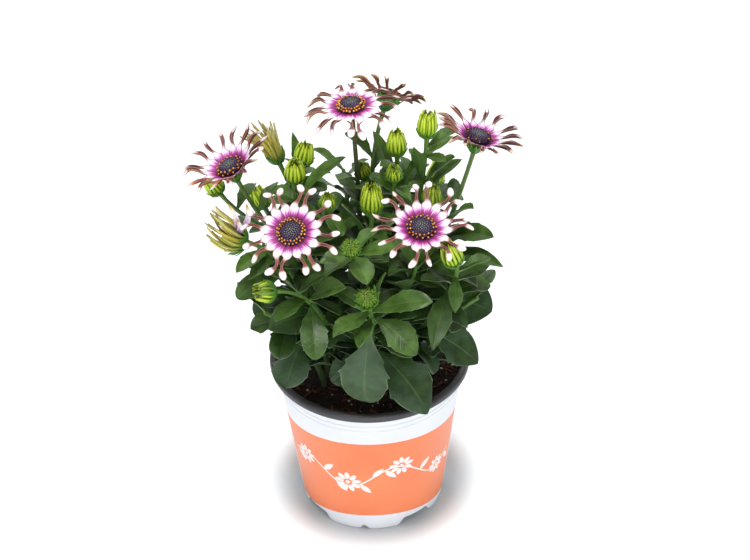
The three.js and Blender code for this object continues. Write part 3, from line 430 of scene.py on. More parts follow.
def head_rings(head):
    """Rings of points round a head, as radius and height above its middle."""
    if head["kind"] == "bloom":
        rings = []
        radius = SAMPLE_STEP
        while radius < BLOOM["hub_radius"] + ray_length(head) + 2:
            share = max(0, (radius - BLOOM["hub_radius"]) / ray_length(head))
            up = arc(ray_length(head), math.radians(head["rise"]), math.radians(head["bend"]), share)[1]
            rings += [(radius, up + layer * share) for layer in (-2.4, 0, 2.4)]
            radius += SAMPLE_STEP
        return rings
    rings = []
    rows = math.ceil(head["height"] / SAMPLE_STEP)
    for r in range(rows + 1):
        up = r / rows
        flare = math.sin(math.pi * mix(0.15, 0.85, up)) if head["kind"] == "bud" else mix(0.5, 1.2, up)
        rings.append((head["radius"] * flare, head["height"] * (up - 0.5)))
    return rings


def surroundings_of(heads, shoots):
    around = Surroundings()
    for name, head in heads.items():
        for radius, up in head_rings(head):
            turns = math.ceil((2 * math.pi * radius) / SAMPLE_STEP)
            for i in range(turns):
                a = (2 * math.pi * i) / turns
                x, y = radius * math.cos(a), radius * math.sin(a)
                around.put(placed(head["at"], head["axes"], x, y, up), name, 1)
    for shoot in shoots.values():
        for i in range(81):
            around.put(bezier(shoot["path"], i / 80), shoot["owner"], 0)
    return around


def tries_of(turns, lifts, sizes):
    return [(math.radians(t), math.radians(u), s) for s in sizes for t in turns for u in lifts]


SPIRAL_TRIES = tries_of((0, 18, -18, 36, -36, 54, -54), (0, 14, -14), (1, 0.86, 0.72))
INFILL_TRIES = tries_of((0, 22, -22, 44, -44, 66, -66), (0, 16, -16), (1, 0.8, 0.64))
CHOSEN_TRIES = tries_of((0, 5, -5, 10, -10, 16, -16), (0, 6, -6, 12, -12), (1, 0.92))


def fitted(leaf, tries, around, owner, test, spacing=LEAF_SPACING):
    """The first way of growing a leaf that is clear of all that is there, or nothing."""
    for turn, lift, size in tries:
        tried = leaf.varied(turn, lift, size)
        if all(p[3] <= ROOT_SHARE or (test(p) and clear_of_pot(p) and not around.meets(p, owner, spacing))
               for p in tried.samples()):
            return tried
    return None


def grow_leaves(shoots, around):
    """Grows the leaves of every shoot: the chosen ones, then a spiral up each shoot, as in the CAD source."""

    def grow(shoot, leaf, tries, test):
        grown = fitted(leaf, tries, around, shoot["owner"], test)
        if grown:
            shoot["grown"].append(grown)
            around.put_leaf(grown, shoot["owner"])
        return grown

    for name, start, tip, width, bend, roll in CHOSEN_LEAVES:
        outline = LOWER_LEAF if width > TREND["wide_chosen"] else UPPER_LEAF
        root = bezier(shoots[name]["path"], start)
        leaf = Leaf.to(root, tip, width, math.radians(bend), math.radians(roll), outline)
        grown = grow(shoots[name], leaf, CHOSEN_TRIES, anywhere)
        if grown:
            grown.tone = tone_at(start, tip[2])
    for index, shoot in enumerate(shoots.values()):
        random = random_stream(SEED["spiral"] + 77 * index)
        draw = lambda: next(random)
        count, first, last, longest, shortest = shoot["leaves"]
        start = draw() * 2 * math.pi
        for i in range(count):
            up = i / (count - 1)
            root = bezier(shoot["path"], mix(first, last, up))
            heading = start + i * GOLDEN_ANGLE + (draw() - 0.5) * 0.4
            outward = math.cos(heading - math.atan2(root[1], root[0]))
            size = mix(longest, shortest, up) * (0.9 + 0.2 * draw()) * (0.95 + 0.07 * outward)
            width = size * mix(*TREND["width"], up) * (0.92 + 0.16 * draw())
            rise = math.radians(mix(*TREND["rise"], up) + (draw() - 0.5) * 16 - 10 * outward)
            bend = math.radians(mix(*TREND["bend"], up) * (0.8 + 0.4 * draw()))
            roll = math.radians((draw() - 0.5) * 24)
            outline = LOWER_LEAF if width > TREND["wide"] else UPPER_LEAF
            leaf = Leaf(root, heading, rise, bend, size, width, roll, outline)
            grown = grow(shoot, leaf, SPIRAL_TRIES, seen)
            if grown:
                grown.tone = tone_at(mix(first, last, up), root[2])


def within(p):
    """Whether a point may be part of an infill leaf: inside the plant, over the pot's rim."""
    out = math.sqrt(p[0] * p[0] + p[1] * p[1])
    return out < INFILL["radius"] and INFILL["low"] + INFILL["slope"] * out < p[2] < INFILL["high"]


def grow_infill(shoots, around):
    """Fills the inside of the plant with smaller leaves that the CAD source leaves out."""
    for index, shoot in enumerate(shoots.values()):
        rng = np.random.default_rng(SEED["infill"] + index)
        planted, bare = shoot["planted"], shoot["head"] in BLOOMS
        kind = "side_shoot" if not planted else "flower_stem" if bare else "other_stem"
        count, first, last = INFILL_LEAVES[kind]
        shoot["infill"] = []
        heading = rng.uniform(0, 2 * math.pi)
        for i in range(count):
            share = mix(first, last, i / (count - 1)) + rng.uniform(-0.02, 0.02)
            root = bezier(shoot["path"], share)
            heading += GOLDEN_ANGLE + rng.uniform(-0.3, 0.3)
            size = rng.uniform(25, 35) if planted else rng.uniform(16, 24)
            if planted:
                size = size * mix(1, 0.6, smooth(0.55, 0.8, share))
            width = size * rng.uniform(0.38, 0.52)
            rise, bend = math.radians(rng.uniform(28, 62)), math.radians(rng.uniform(30, 75))
            roll = math.radians(rng.uniform(-25, 25))
            leaf = Leaf(root, heading, rise, bend, size, width, roll, UPPER_LEAF)
            grown = fitted(leaf, INFILL_TRIES, around, shoot["owner"], within, INFILL_SPACING)
            if grown:
                # Leaves inside the plant get a lower tone, which paints them darker: painted shade for the
                # inside of the plant.
                grown.tone = tone_at(share, root[2]) * 0.9
                shoot["infill"].append(grown)
                around.put_leaf(grown, shoot["owner"])


def tone_at(share, height):
    """How young a leaf is, from 0 for the dark leaves low down to 1 for the bright ones near a tip."""
    return float(np.clip(0.55 * share + 0.45 * (height - 125) / 110, 0, 1))


# ---------------------------------------------------------------- meshes

SHARP_FROM = math.radians(52)  # edges between faces that turn further than this are sharp


class Shape:
    """The faces of one piece, gathered in millimetres.

    Each point has marks for the materials: its share along its part, its place across it from -1 to 1, its
    tone, and its side, 1 on an upper face and 0 on a lower one. Each face has the number of its material."""

    def __init__(self):
        self.points, self.marks, self.quads, self.triangles = [], [], [], []
        self.count = 0

    def put(self, points, marks, quads, triangles, look):
        self.points.append(points)
        self.marks.append(marks)
        for faces, kept in ((quads, self.quads), (triangles, self.triangles)):
            if len(faces):
                each = np.ndim(look) and len(look) == len(faces)
                looks = look if each else np.full(len(faces), np.ravel(look)[-1])
                kept.append((np.asarray(faces) + self.count, looks))
        self.count += len(points)

    def loft(self, rings, marks, look, flat_ends=False):
        """A closed skin through rings (n, m, 3) that turn anticlockwise about their path, with capped ends.

        Look is the material's number, or one number for each band between two rings."""
        n, m = rings.shape[:2]
        bands = np.repeat(np.broadcast_to(look, n - 1), m)
        index = np.arange(n * m).reshape(n, m)
        after = np.roll(index, -1, axis=1)
        quads = [np.stack([index[:-1], after[:-1], after[1:], index[1:]], axis=-1).reshape(-1, 4)]
        points = rings.reshape(-1, 3)
        marks = np.broadcast_to(marks, (n, m, 4)).reshape(-1, 4)
        triangles = []
        if flat_ends:
            half = m // 2
            for end, order in ((0, (3, 2, 1, 0)), (n - 1, (0, 1, 2, 3))):
                upper, lower = index[end, :half], index[end, ::-1][:half]
                cap = np.stack([upper[:-1], upper[1:], lower[1:], lower[:-1]], axis=-1)
                quads.append(cap[:, order])
                bands = np.concatenate([bands, np.full(half - 1, bands[-1])])
        else:
            points = np.vstack([points, rings[0].mean(0), rings[-1].mean(0)])
            marks = np.vstack([marks, marks[0], marks[-1]])
            triangles = np.vstack([
                np.stack([np.full(m, n * m), after[0], index[0]], axis=-1),
                np.stack([np.full(m, n * m + 1), index[-1], after[-1]], axis=-1)])
        self.put(points, marks, np.vstack(quads), triangles, bands)

    def blade(self, upper, lower, marks, look):
        """A thin closed blade from an upper and a lower grid (n, m, 3) that run from left to right."""
        rings = np.concatenate([upper, lower[:, ::-1]], axis=1)
        under = marks[:, ::-1].copy()
        under[..., 3] = 0
        self.loft(rings, np.concatenate([marks, under], axis=1), look, flat_ends=True)

    def mesh(self, name):
        mesh = bpy.data.meshes.new(name)
        points = np.vstack(self.points) * MM
        corners = [(len(f), f.shape[1], f.ravel(), look) for f, look in self.quads + self.triangles]
        totals = np.concatenate([np.full(count, sides) for count, sides, _, _ in corners])
        looks = np.concatenate([look for _, _, _, look in corners])
        indices = np.concatenate([flat for _, _, flat, _ in corners])
        mesh.vertices.add(len(points))
        mesh.vertices.foreach_set("co", points.astype(np.float32).ravel())
        mesh.loops.add(len(indices))
        mesh.loops.foreach_set("vertex_index", indices.astype(np.int32))
        mesh.polygons.add(len(totals))
        starts = np.concatenate([[0], np.cumsum(totals)[:-1]])
        mesh.polygons.foreach_set("loop_start", starts.astype(np.int32))
        mesh.polygons.foreach_set("material_index", looks.astype(np.int32))
        mesh.update(calc_edges=True)
        marks = np.vstack(self.marks).astype(np.float32)
        mark = mesh.attributes.new("mark", "FLOAT_VECTOR", "POINT")
        mark.data.foreach_set("vector", marks[:, :3].ravel())
        side = mesh.attributes.new("side", "FLOAT", "POINT")
        side.data.foreach_set("value", np.ascontiguousarray(marks[:, 3]))
        mesh.polygons.foreach_set("use_smooth", np.ones(len(totals), bool))
        mesh.set_sharp_from_angle(angle=SHARP_FROM)
        return mesh


def add_piece(name, shape, looks, slot, *nodes):
    """A piece that stands in for CAD nodes, which it hides, and wears the given materials. Its slot is not
    used.
    """
    piece = bpy.data.objects.new(name, shape.mesh(name))
    bpy.context.scene.collection.objects.link(piece)
    for look in looks:
        piece.data.materials.append(look)
    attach(piece, "root")
    if nodes:
        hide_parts(*nodes)
    return piece


def marks_of(along, across, tone):
    """Marks for the upper side of a grid, from numbers or arrays that broadcast to it."""
    return np.stack(np.broadcast_arrays(along, across, tone, 1.0), axis=-1)


def axes_array(axes):
    return np.array(axes, float)


def unit_rows(v):
    return v / np.linalg.norm(v, axis=-1, keepdims=True)


def tube_rings(centres, radii, sides, ridges=0.0, first_side=(1, 0, 0)):
    """Round rings along a line of centres, anticlockwise about the line, with five low ridges."""
    centres = np.asarray(centres, float)
    along = unit_rows(np.gradient(centres, axis=0))
    angles = np.arange(sides) * 2 * math.pi / sides
    bulge = 1 + ridges * np.cos(5 * angles)
    rings = []
    side = np.array(first_side, float)
    if abs(side @ along[0]) > 0.95:
        side = np.array((0, 1, 0.0))
    for centre, axis, radius in zip(centres, along, np.broadcast_to(radii, len(centres))):
        side = side - axis * (side @ axis)
        side /= np.linalg.norm(side)
        other = np.cross(axis, side)
        circle = np.cos(angles)[:, None] * side + np.sin(angles)[:, None] * other
        rings.append(centre + radius * bulge[:, None] * circle)
    return np.array(rings)


def outward_and_tangent(axes, turn):
    """The directions out from an axis and round it, at an angle."""
    c, s = math.cos(turn), math.sin(turn)
    return c * axes[0] + s * axes[1], -s * axes[0] + c * axes[1]


def turned_rings(profile, sides, origin=(0, 0, 0), axes=((1, 0, 0), (0, 1, 0), (0, 0, 1))):
    """Rings of a turned form from its profile of radius and height, anticlockwise about its axis."""
    axes = axes_array(axes)
    angles = np.arange(sides) * 2 * math.pi / sides
    circle = np.cos(angles)[:, None] * axes[0] + np.sin(angles)[:, None] * axes[1]
    return np.array([np.array(origin) + radius * circle + height * axes[2] for radius, height in profile])


def add_core(shape, profile, sides, head, tone, look):
    """The turned form in the middle of a head."""
    rings = turned_rings(profile, sides, head["at"], head["axes"])
    shape.loft(rings, marks_of(np.linspace(0, 1, len(profile))[:, None], 0.0, tone), look)


# ---------------------------------------------------------------- leaves

# Shares of a leaf where its fine rows lie: close together at its teeth and its tip.
LEAF_ROWS = np.array([0, 0.05, 0.1, 0.16, 0.22, 0.28, 0.33, 0.37, 0.395, 0.405, 0.42, 0.436, 0.48, 0.52,
                      0.555, 0.57, 0.58, 0.6, 0.64, 0.68, 0.715, 0.73, 0.745, 0.765, 0.81, 0.86, 0.9, 0.935,
                      0.963, 0.985, 1])
LEAF_COLUMNS = np.array([-1, -0.93, -0.72, -0.46, -0.2, -0.06, 0.06, 0.2, 0.46, 0.72, 0.93, 1])
INFILL_ROWS = np.array([0, 0.09, 0.2, 0.32, 0.39, 0.43, 0.51, 0.57, 0.61, 0.72, 0.82, 0.9, 0.96, 1])
INFILL_COLUMNS = np.array([-1, -0.7, -0.3, -0.05, 0.05, 0.3, 0.7, 1])
LEAF_THICKNESS = 0.5
TOOTH_REACH, TOOTH_NOTCH = 0.13, 0.03  # shares of the leaf over which a tooth swells and drops away


def tooth(s, at, height):
    """A tooth of a margin: it swells up to its point and drops away behind it."""
    rising = np.clip((s - at + TOOTH_REACH) / TOOTH_REACH, 0, 1) ** 1.6
    falling = np.clip(1 - (s - at) / TOOTH_NOTCH, 0, 1)
    return height * np.where(s <= at, rising, falling)


def leaf_half_width(leaf, s, rng):
    """Left and right half-widths of a leaf in mm at its rows."""
    blunt = rng.random()
    if leaf.outline is LOWER_LEAF:
        body = 0.07 + 0.7 * smooth(0.06, 0.48, s) + 0.23 * smooth(0.4, 0.62, s)
        start, power, root = mix(0.56, 0.7, blunt), mix(1.6, 2.2, blunt), mix(0.78, 0.56, blunt)
        teeth = ((0.4, 0.16, 0.9), (0.57, 0.2, 1.0), (0.73, 0.12, 0.7))
    else:
        body = 0.1 + 0.72 * smooth(0, 0.46, s) + 0.16 * smooth(0.4, 0.64, s)
        start, power, root = mix(0.56, 0.76, blunt), mix(1.4, 2.3, blunt), mix(0.92, 0.58, blunt)
        teeth = ((0.4, 0.1, 0.45), (0.57, 0.17, 0.9), (0.73, 0.12, 0.6))
    tip = (1 - np.clip((s - start) / (1 - start), 0, 1) ** power) ** root
    halves = []
    for _ in range(2):
        half = body * tip
        for at, height, chance in teeth:
            if rng.random() < chance:
                half = half + tooth(s, at, height * rng.uniform(0.6, 1.2)) * (1 - 0.4 * s)
        halves.append(np.maximum(half * leaf.width / 2, 0.16))
    return halves


def fine_leaf(shape, leaf, look, seed, rows=LEAF_ROWS, columns=LEAF_COLUMNS):
    """A leaf with toothed margins, a sunk midrib, a gentle fold and waves."""
    rng = np.random.default_rng(seed)
    s = rows
    out, up = arc(leaf.size, leaf.rise, leaf.bend, s)
    angle = leaf.rise - leaf.bend * s
    c, d = math.cos(leaf.heading), math.sin(leaf.heading)
    rib = np.array(leaf.root) + np.stack([c * out, d * out, up], axis=-1)
    normal = np.stack([-c * np.sin(angle), -d * np.sin(angle), np.cos(angle)], axis=-1)
    along = np.stack([c * np.cos(angle), d * np.cos(angle), np.sin(angle)], axis=-1)
    level = np.array(leaf.level)
    roll = leaf.roll + rng.uniform(-0.3, 0.3) * s
    side = level * np.cos(roll)[:, None] + normal * np.sin(roll)[:, None]
    face = normal * np.cos(roll)[:, None] - level * np.sin(roll)[:, None]
    rib = rib + side * (rng.uniform(-0.04, 0.04) * leaf.size * s ** 2)[:, None]
    left, right = leaf_half_width(leaf, s, rng)
    u = columns[None, :]
    x = np.where(u < 0, left[:, None], right[:, None]) * u
    skew = rng.uniform(-0.035, 0.035) * leaf.size * np.sin(math.pi * s)[:, None] * u
    blade = smooth(0.1, 0.4, s)[:, None]
    young = leaf.outline is UPPER_LEAF
    fold = rng.uniform(0.12, 0.42) if young else rng.uniform(-0.02, 0.2)
    height = blade * fold * (np.abs(x) - 0.45 * leaf.width / 2)
    waves = 2 * math.pi * (rng.uniform(1.1, 1.9) * s[:, None] + rng.random())
    waves = np.sin(waves + rng.uniform(0, 1.2) * np.sign(u))
    height += blade * (0.1 if young else 0.06) * leaf.width / 2 * np.abs(u) ** 2.2 * waves
    height -= 0.32 * np.exp(-((x / 0.75) ** 2)) * blade * (1 - s[:, None] * 0.6)
    quilt = np.cos(2 * math.pi * (s[:, None] * leaf.size - np.abs(x) * 0.8) / 5.2)
    height += (0.1 if young else 0.16) * quilt * blade * np.sin(math.pi * np.clip(np.abs(u), 0, 1))
    thick = LEAF_THICKNESS * (1 - 0.45 * np.abs(u) ** 3) + (1 - blade) * 0.9
    ridge = 0.5 * np.exp(-((x / 0.7) ** 2)) * (1 - s[:, None]) * blade
    base = rib[:, None] + side[:, None] * x[..., None] + along[:, None] * skew[..., None]
    upper = base + face[:, None] * (height + thick / 2)[..., None]
    lower = base + face[:, None] * (height - thick / 2 - ridge)[..., None]
    shape.blade(upper, lower, marks_of(s[:, None], u, leaf.tone + rng.uniform(-0.08, 0.08)), look)


# ---------------------------------------------------------------- stems and green cups


def shoot_points(shoot, steps):
    """Centres of a shoot from its root to its tip, with an upright foot in the soil if it is planted."""
    points = [bezier(shoot["path"], i / steps) for i in range(steps + 1)]
    if shoot["planted"]:
        x, y, z = points[0]
        foot = z - STEM["above"] - STEM["planted"] + CLEARANCE
        points = [(x, y, foot), (x, y, z - 5)] + points
    return np.array(points)


# How brown the stems of some heads are, from 0 to 1.
BROWN_STEMS = {"bloom_d": 0.8, "bloom_f": 0.4, "bloom_c": 0.3, "bloom_e": 0.35}


def fine_stem(shape, shoot, look):
    steps = 22 if shoot["planted"] else 12
    points = shoot_points(shoot, steps)
    thickest = STEM["base_radius"] if shoot["planted"] else STEM["tip_radius"] * 1.1
    share = np.linspace(0, 1, len(points))
    radii = mix(thickest, STEM["tip_radius"], share)
    if shoot["head"]:
        radii = radii + 0.35 * smooth(0.94, 1.0, share)
    rings = tube_rings(points, radii, 10, ridges=0.05)
    tones = np.array([tone_at(t, p[2]) for t, p in zip(share, points)])
    brown = BROWN_STEMS.get(shoot["head"], 0.0) * smooth(0.3, 0.7, share)
    shape.loft(rings, marks_of(share[:, None], brown[:, None], tones[:, None]), look)


BRACT = dict(rows=9, keel=0.25, thickness=0.42)


def bract(shape, head, turn, foot, belly, tip, width, look, rng):
    """A green scale that hugs a head: foot, belly and tip are each a radius and a height."""
    t = np.linspace(0, 1, BRACT["rows"])
    w = ((1 - t) ** 2)[:, None] * foot + (2 * t * (1 - t))[:, None] * belly + (t ** 2)[:, None] * tip
    radius, height = w[:, 0], w[:, 1]
    half = width / 2 * np.sin(math.pi * np.clip(0.22 + 0.78 * t, 0, 0.985)) ** 0.8
    u = np.array([-1, -0.5, 0, 0.5, 1])[None, :]
    axes = axes_array(head["axes"])
    angle = turn + (half[:, None] * u) / np.maximum(radius[:, None], 1.0)
    lift = BRACT["keel"] * (1 - np.abs(u)) + rng.uniform(-0.1, 0.1)
    away = np.cos(angle)[..., None] * axes[0] + np.sin(angle)[..., None] * axes[1]
    outer, inner = (np.array(head["at"]) + (radius[:, None] + lift + offset)[..., None] * away
                    + np.broadcast_to(height[:, None, None], (*angle.shape, 1)) * axes[2]
                    for offset in (BRACT["thickness"], 0.0))
    # Seen from outside, with the tip up, the angle grows to the right, so the outer face is the upper one.
    shape.blade(outer, inner, marks_of(t[:, None], u, rng.uniform(0.55, 0.8)), look)


def fine_cup(shape, head, look, seed):
    """The green cup under a bloom: a turned core with two rows of scales."""
    rng = np.random.default_rng(seed)
    profile = ((1.6, -10), (2.4, -8.8), (4.0, -6.6), (5.6, -4.2), (6.7, -2.2), (7.0, -1.1), (5.8, -0.85))
    add_core(shape, profile, 24, head, 0.5, look)
    for row, (count, tip) in enumerate(((9, (9.2, -0.4)), (9, (8.2, -0.9)))):
        for i in range(count):
            turn = 2 * math.pi * (i + 0.5 * row) / count + rng.uniform(-0.05, 0.05)
            foot, belly = np.array((2.0, -9.6)), np.array((5.6 - 0.3 * row, -5.6))
            bract(shape, head, turn, foot, belly, np.array(tip), 3.0, look, rng)


# ---------------------------------------------------------------- blooms

RAY_COLUMNS = np.linspace(-1, 1, 11)
RAY_ROWS = np.concatenate([[-0.11, -0.05], np.linspace(0, 0.24, 6), np.linspace(0.29, 0.56, 10),
                           np.linspace(0.6, 0.72, 4), np.linspace(0.755, 0.93, 8), [0.955, 0.975, 0.99, 1.0]])
RAY_THICKNESS = 0.34
FLORETS = 96  # in the spiral of an eye, without the anthers at its rim
# For each bloom: how brown its tubes are, from 0 to 1, half of a spoon's width in mm, the share of its rays
# that stay rolled up to a pointed tip, how many more do on its left, how slim those are and how much nearer
# the eye they roll up, how much the rays sway, and how many anthers it has and their size.
RAY_STYLE = {
    "bloom_a": dict(brown=0.26, spoon=2.5, closed=0.0, left=0.0, slim=1.0, early=0.0, sway=1.1, anthers=44,
                    anther=1.0),
    "bloom_b": dict(brown=0.36, spoon=2.3, closed=0.1, left=0.3, slim=0.9, early=0.06, sway=1.0, anthers=34,
                    anther=1.0),
    "bloom_c": dict(brown=0.42, spoon=1.9, closed=0.75, left=0.25, slim=0.84, early=0.08, sway=0.8,
                    anthers=28, anther=1.0),
    "bloom_d": dict(brown=0.55, spoon=2.5, closed=0.1, left=0.9, slim=0.9, early=0.1, sway=0.8, anthers=52,
                    anther=1.15),
    "bloom_e": dict(brown=0.72, spoon=1.9, closed=0.94, left=0.0, slim=0.98, early=0.12, sway=0.5, anthers=10,
                    anther=0.8),
    "bloom_f": dict(brown=0.9, spoon=1.6, closed=1.0, left=0.0, slim=0.8, early=0.24, sway=0.6, anthers=18,
                    anther=0.9),
}


def ray_half(s, reach, n, style, spoon, closed):
    """Half of a ray's width in mm along its rolled section. Reach is its distance from the middle."""
    early = style["early"] if closed else 0.0
    half = np.minimum(math.tan(math.pi / n) * reach * 1.04, 3.3 - 1.1 * smooth(0.28 - early, 0.5 - early, s))
    if closed:
        slim = style["slim"]
        half = half * mix(1, slim, smooth(0.26 - early, 0.5 - early, s)) + 1.2 * slim * smooth(0.44, 0.64, s)
        return np.maximum(half * (1 - np.clip((s - 0.66) / 0.34, 0, 1) ** 1.7) ** 0.8, 0.12)
    half = half - 0.3 * smooth(0.54, 0.68, s) + (spoon - 2.0) * smooth(0.72, 0.85, s)
    return np.maximum(half * (1 - np.clip((s - 0.86) / 0.14, 0, 1) ** 2.2) ** 0.5, 0.1)


def ray_curl(s, tight, style, closed):
    """How far each half of a ray's section is rolled up, in radians: blade, tube, spoon."""
    early = style["early"] if closed else 0.0
    shut = 0.14 * smooth(0.22, 0.34, s + early) + 0.86 * smooth(0.33, 0.55, s + early)
    rolled = 0.18 + 0.15 * s + tight * shut
    return rolled - (0.5 if closed else tight - 0.5) * smooth(0.72, 0.85, s)


def fine_rays(name, head, seed, look):
    """The ray petals of a bloom: blades that roll into a tube past their middle and open to a spoon."""
    shape = Shape()
    style = RAY_STYLE[name]
    random = random_stream(seed)
    draw = lambda: next(random)
    rng = np.random.default_rng(seed)
    axes = axes_array(head["axes"])
    n = head["rays"]
    hub = BLOOM["hub_radius"] * math.cos(math.pi / n)
    s = RAY_ROWS
    u = RAY_COLUMNS[None, :]
    for i in range(n):
        swing = 2 * math.pi * i / n + (draw() - 0.5) * 0.03
        rise = math.radians(head["rise"] + (draw() - 0.5) * 12)
        bend = math.radians(head["bend"] + (draw() - 0.5) * 16)
        total = ray_length(head) * (0.94 + 0.12 * draw())
        out, up = arc(total, rise, bend, s)
        flat = s < 0
        out, up = np.where(flat, s * total, out), np.where(flat, 0, up)
        angle = np.where(flat, rise * 0.5, rise - bend * s)
        # Past the blade each ray sways aside and lifts in its own way, and neighbours lean together in pairs.
        radial, level = outward_and_tangent(axes, swing)
        closed = rng.random() < style["closed"] + style["left"] * smooth(0.3, 0.6, -radial[0])
        sway = style["sway"] * (rng.uniform(-1.3, 1.3) + (1 if i % 2 else -1) * 2.1)
        aside = sway * np.sin(math.pi * np.clip((s - 0.4) / 0.6, 0, 1))
        aside = aside + rng.uniform(-1.3, 1.3) * smooth(0.5, 1, s)
        lift = rng.uniform(0.2, 2.2) * np.sin(math.pi * np.clip((s - 0.42) / 0.5, 0, 1))
        normal = -np.sin(angle)[:, None] * radial + np.cos(angle)[:, None] * axes[2]
        # Every other ray lies a little higher, so that the blades lap over each other like tiles.
        tier = (0.35 if i % 2 else -0.05) * smooth(0.0, 0.15, s) * (1 - smooth(0.35, 0.5, s))
        centre = (np.array(head["at"]) + (hub + out)[:, None] * radial + (up + lift + tier)[:, None] * axes[2]
                  + aside[:, None] * level)
        along = unit_rows(np.gradient(centre, axis=0))
        twist = rng.uniform(-0.5, 0.5) * smooth(0.45, 0.95, s)
        side = unit_rows(np.cross(along, normal))
        face = np.cross(side, along)
        side, face = (side * np.cos(twist)[:, None] + face * np.sin(twist)[:, None],
                      face * np.cos(twist)[:, None] - side * np.sin(twist)[:, None])
        curl = ray_curl(s, rng.uniform(1.85, 2.3), style, closed)
        half = ray_half(s, hub + s * total, n, style, style["spoon"] * rng.uniform(0.9, 1.08), closed)
        radius = (half / curl)[:, None]
        theta = curl[:, None] * u
        x = radius * np.sin(theta)
        z = radius * (1 - np.cos(theta)) - radius * (1 - np.cos(curl))[:, None] * 0.4
        groove = 0.12 * np.cos(3 * math.pi * u) * smooth(0.02, 0.12, s)[:, None]
        groove = groove * (1 - smooth(0.36, 0.46, s))[:, None]
        base = centre[:, None] + side[:, None] * x[..., None] + face[:, None] * (z + groove)[..., None]
        inward = -np.sin(theta)[..., None] * side[:, None] + np.cos(theta)[..., None] * face[:, None]
        thick = RAY_THICKNESS / 2 * (1 - 0.3 * np.abs(u))[..., None]
        shade = float(np.clip(style["brown"] + rng.uniform(-0.22, 0.22) + (0.12 if closed else 0), 0, 1))
        shape.blade(base + inward * thick, base - inward * thick, marks_of(s[:, None], u, shade), look)
    return shape


def fine_disc(name, head, seed, looks):
    """The eye of a bloom: closed florets in a spiral on a dome, with a rim of open ones and their anthers."""
    core, floret, anther = looks
    shape = Shape()
    rng = np.random.default_rng(seed)
    axes = axes_array(head["axes"])
    middle = np.array(head["at"])
    low = BLOOM["blade"] / 2 + CLEARANCE
    radius = BLOOM["disc_radius"]
    dome = lambda r: low + 1.0 + 1.9 * math.sqrt(max(0.0, 1 - (r / radius) ** 2))
    profile = [(radius * 0.9, low - 0.9), (radius, low), (radius, low + 0.7)]
    profile += [(r, dome(r) - 0.25) for r in np.linspace(radius * 0.96, 0.4, 9)]
    add_core(shape, profile, 28, head, 0.3, core)
    angles = np.arange(6) * 2 * math.pi / 6
    for k in range(FLORETS):
        r = (radius - 0.3) * math.sqrt((k + 0.5) / FLORETS)
        turn = k * GOLDEN_ANGLE
        outward, _ = outward_and_tangent(axes, turn)
        slope = math.asin(min(0.9, 0.75 * (r / radius) ** 1.6))
        stand = math.cos(slope) * axes[2] + math.sin(slope) * outward
        first = unit_rows(np.cross(stand, axes[0] + 0.3 * axes[1]))
        second = np.cross(stand, first)
        foot = middle + r * outward + (dome(r) - 0.5) * axes[2]
        rim = r > radius * 0.84
        size = mix(0.5, 0.62, r / radius) * rng.uniform(0.85, 1.1)
        tall = mix(1.1, 1.5, (r / radius) ** 2) * rng.uniform(0.85, 1.2)
        star = 1 + (0.34 if rim else 0.16) * np.cos(3 * angles)
        rings = []
        top = ((0.75, 0.95), (0.35, 1.05)) if not rim else ((1.15, 0.95), (0.35, 0.85))
        for width, height in ((0.6, 0), (0.85, 0.35), (1.0, 0.75)) + top:
            circle = np.cos(angles)[:, None] * first + np.sin(angles)[:, None] * second
            rings.append(foot + size * width * star[:, None] * circle + tall * height * stand)
        tone = r / radius + rng.uniform(-0.09, 0.09)
        shape.loft(np.array(rings), marks_of(np.linspace(0, 1, 5)[:, None], 0.0, tone), floret)
    # The open florets at the rim each hold up a tube of anthers, in two uneven rows.
    spots = RAY_STYLE[name]["anthers"]
    for k in range(spots):
        turn = 2 * math.pi * (k + rng.uniform(-0.3, 0.3)) / spots
        outward, _ = outward_and_tangent(axes, turn)
        outer = k % 2
        r = radius * (rng.uniform(0.97, 1.06) if outer else rng.uniform(0.82, 0.92))
        stand = unit_rows(axes[2] + (rng.uniform(0.6, 1.0) if outer else rng.uniform(0.25, 0.5)) * outward)
        foot = middle + r * outward + (low + (0.2 if outer else 1.0)) * axes[2]
        tall = rng.uniform(1.7, 2.4)
        centres = foot + np.array([0, 0.35, 0.62, 0.85, 1.0])[:, None] * tall * stand
        radii = np.array([0.3, 0.34, 0.5, 0.56, 0.2]) * rng.uniform(0.85, 1.15) * RAY_STYLE[name]["anther"]
        rings = tube_rings(centres, radii, 7, first_side=tuple(axes[0]))
        shape.loft(rings, marks_of(np.linspace(0, 1, 5)[:, None], 0.0, rng.random()), anther)
    return shape


# ---------------------------------------------------------------- buds and closing blooms


def bud_radius(t):
    """Radius of a bud as a share of its largest, at share t of its height."""
    return np.interp(t, (0, 0.07, 0.18, 0.34, 0.48, 0.7, 0.86, 1.0),
                     (0.24, 0.48, 0.74, 0.97, 1.0, 0.88, 0.74, 0.62))


GREEN_BUDS = ("bud_6", "bud_7", "bud_8", "bud_9", "bud_10", "bud_12", "bud_16")
WOOLLY_BUDS = ("bud_8", "bud_10")
LEAFY_BUD = "bud_10"
HAIRS, LEAFLETS = 90, 11  # on a woolly bud and on the leafy one
SCALES = 12  # in each of the two rows at the foot of a bud or a closing bloom


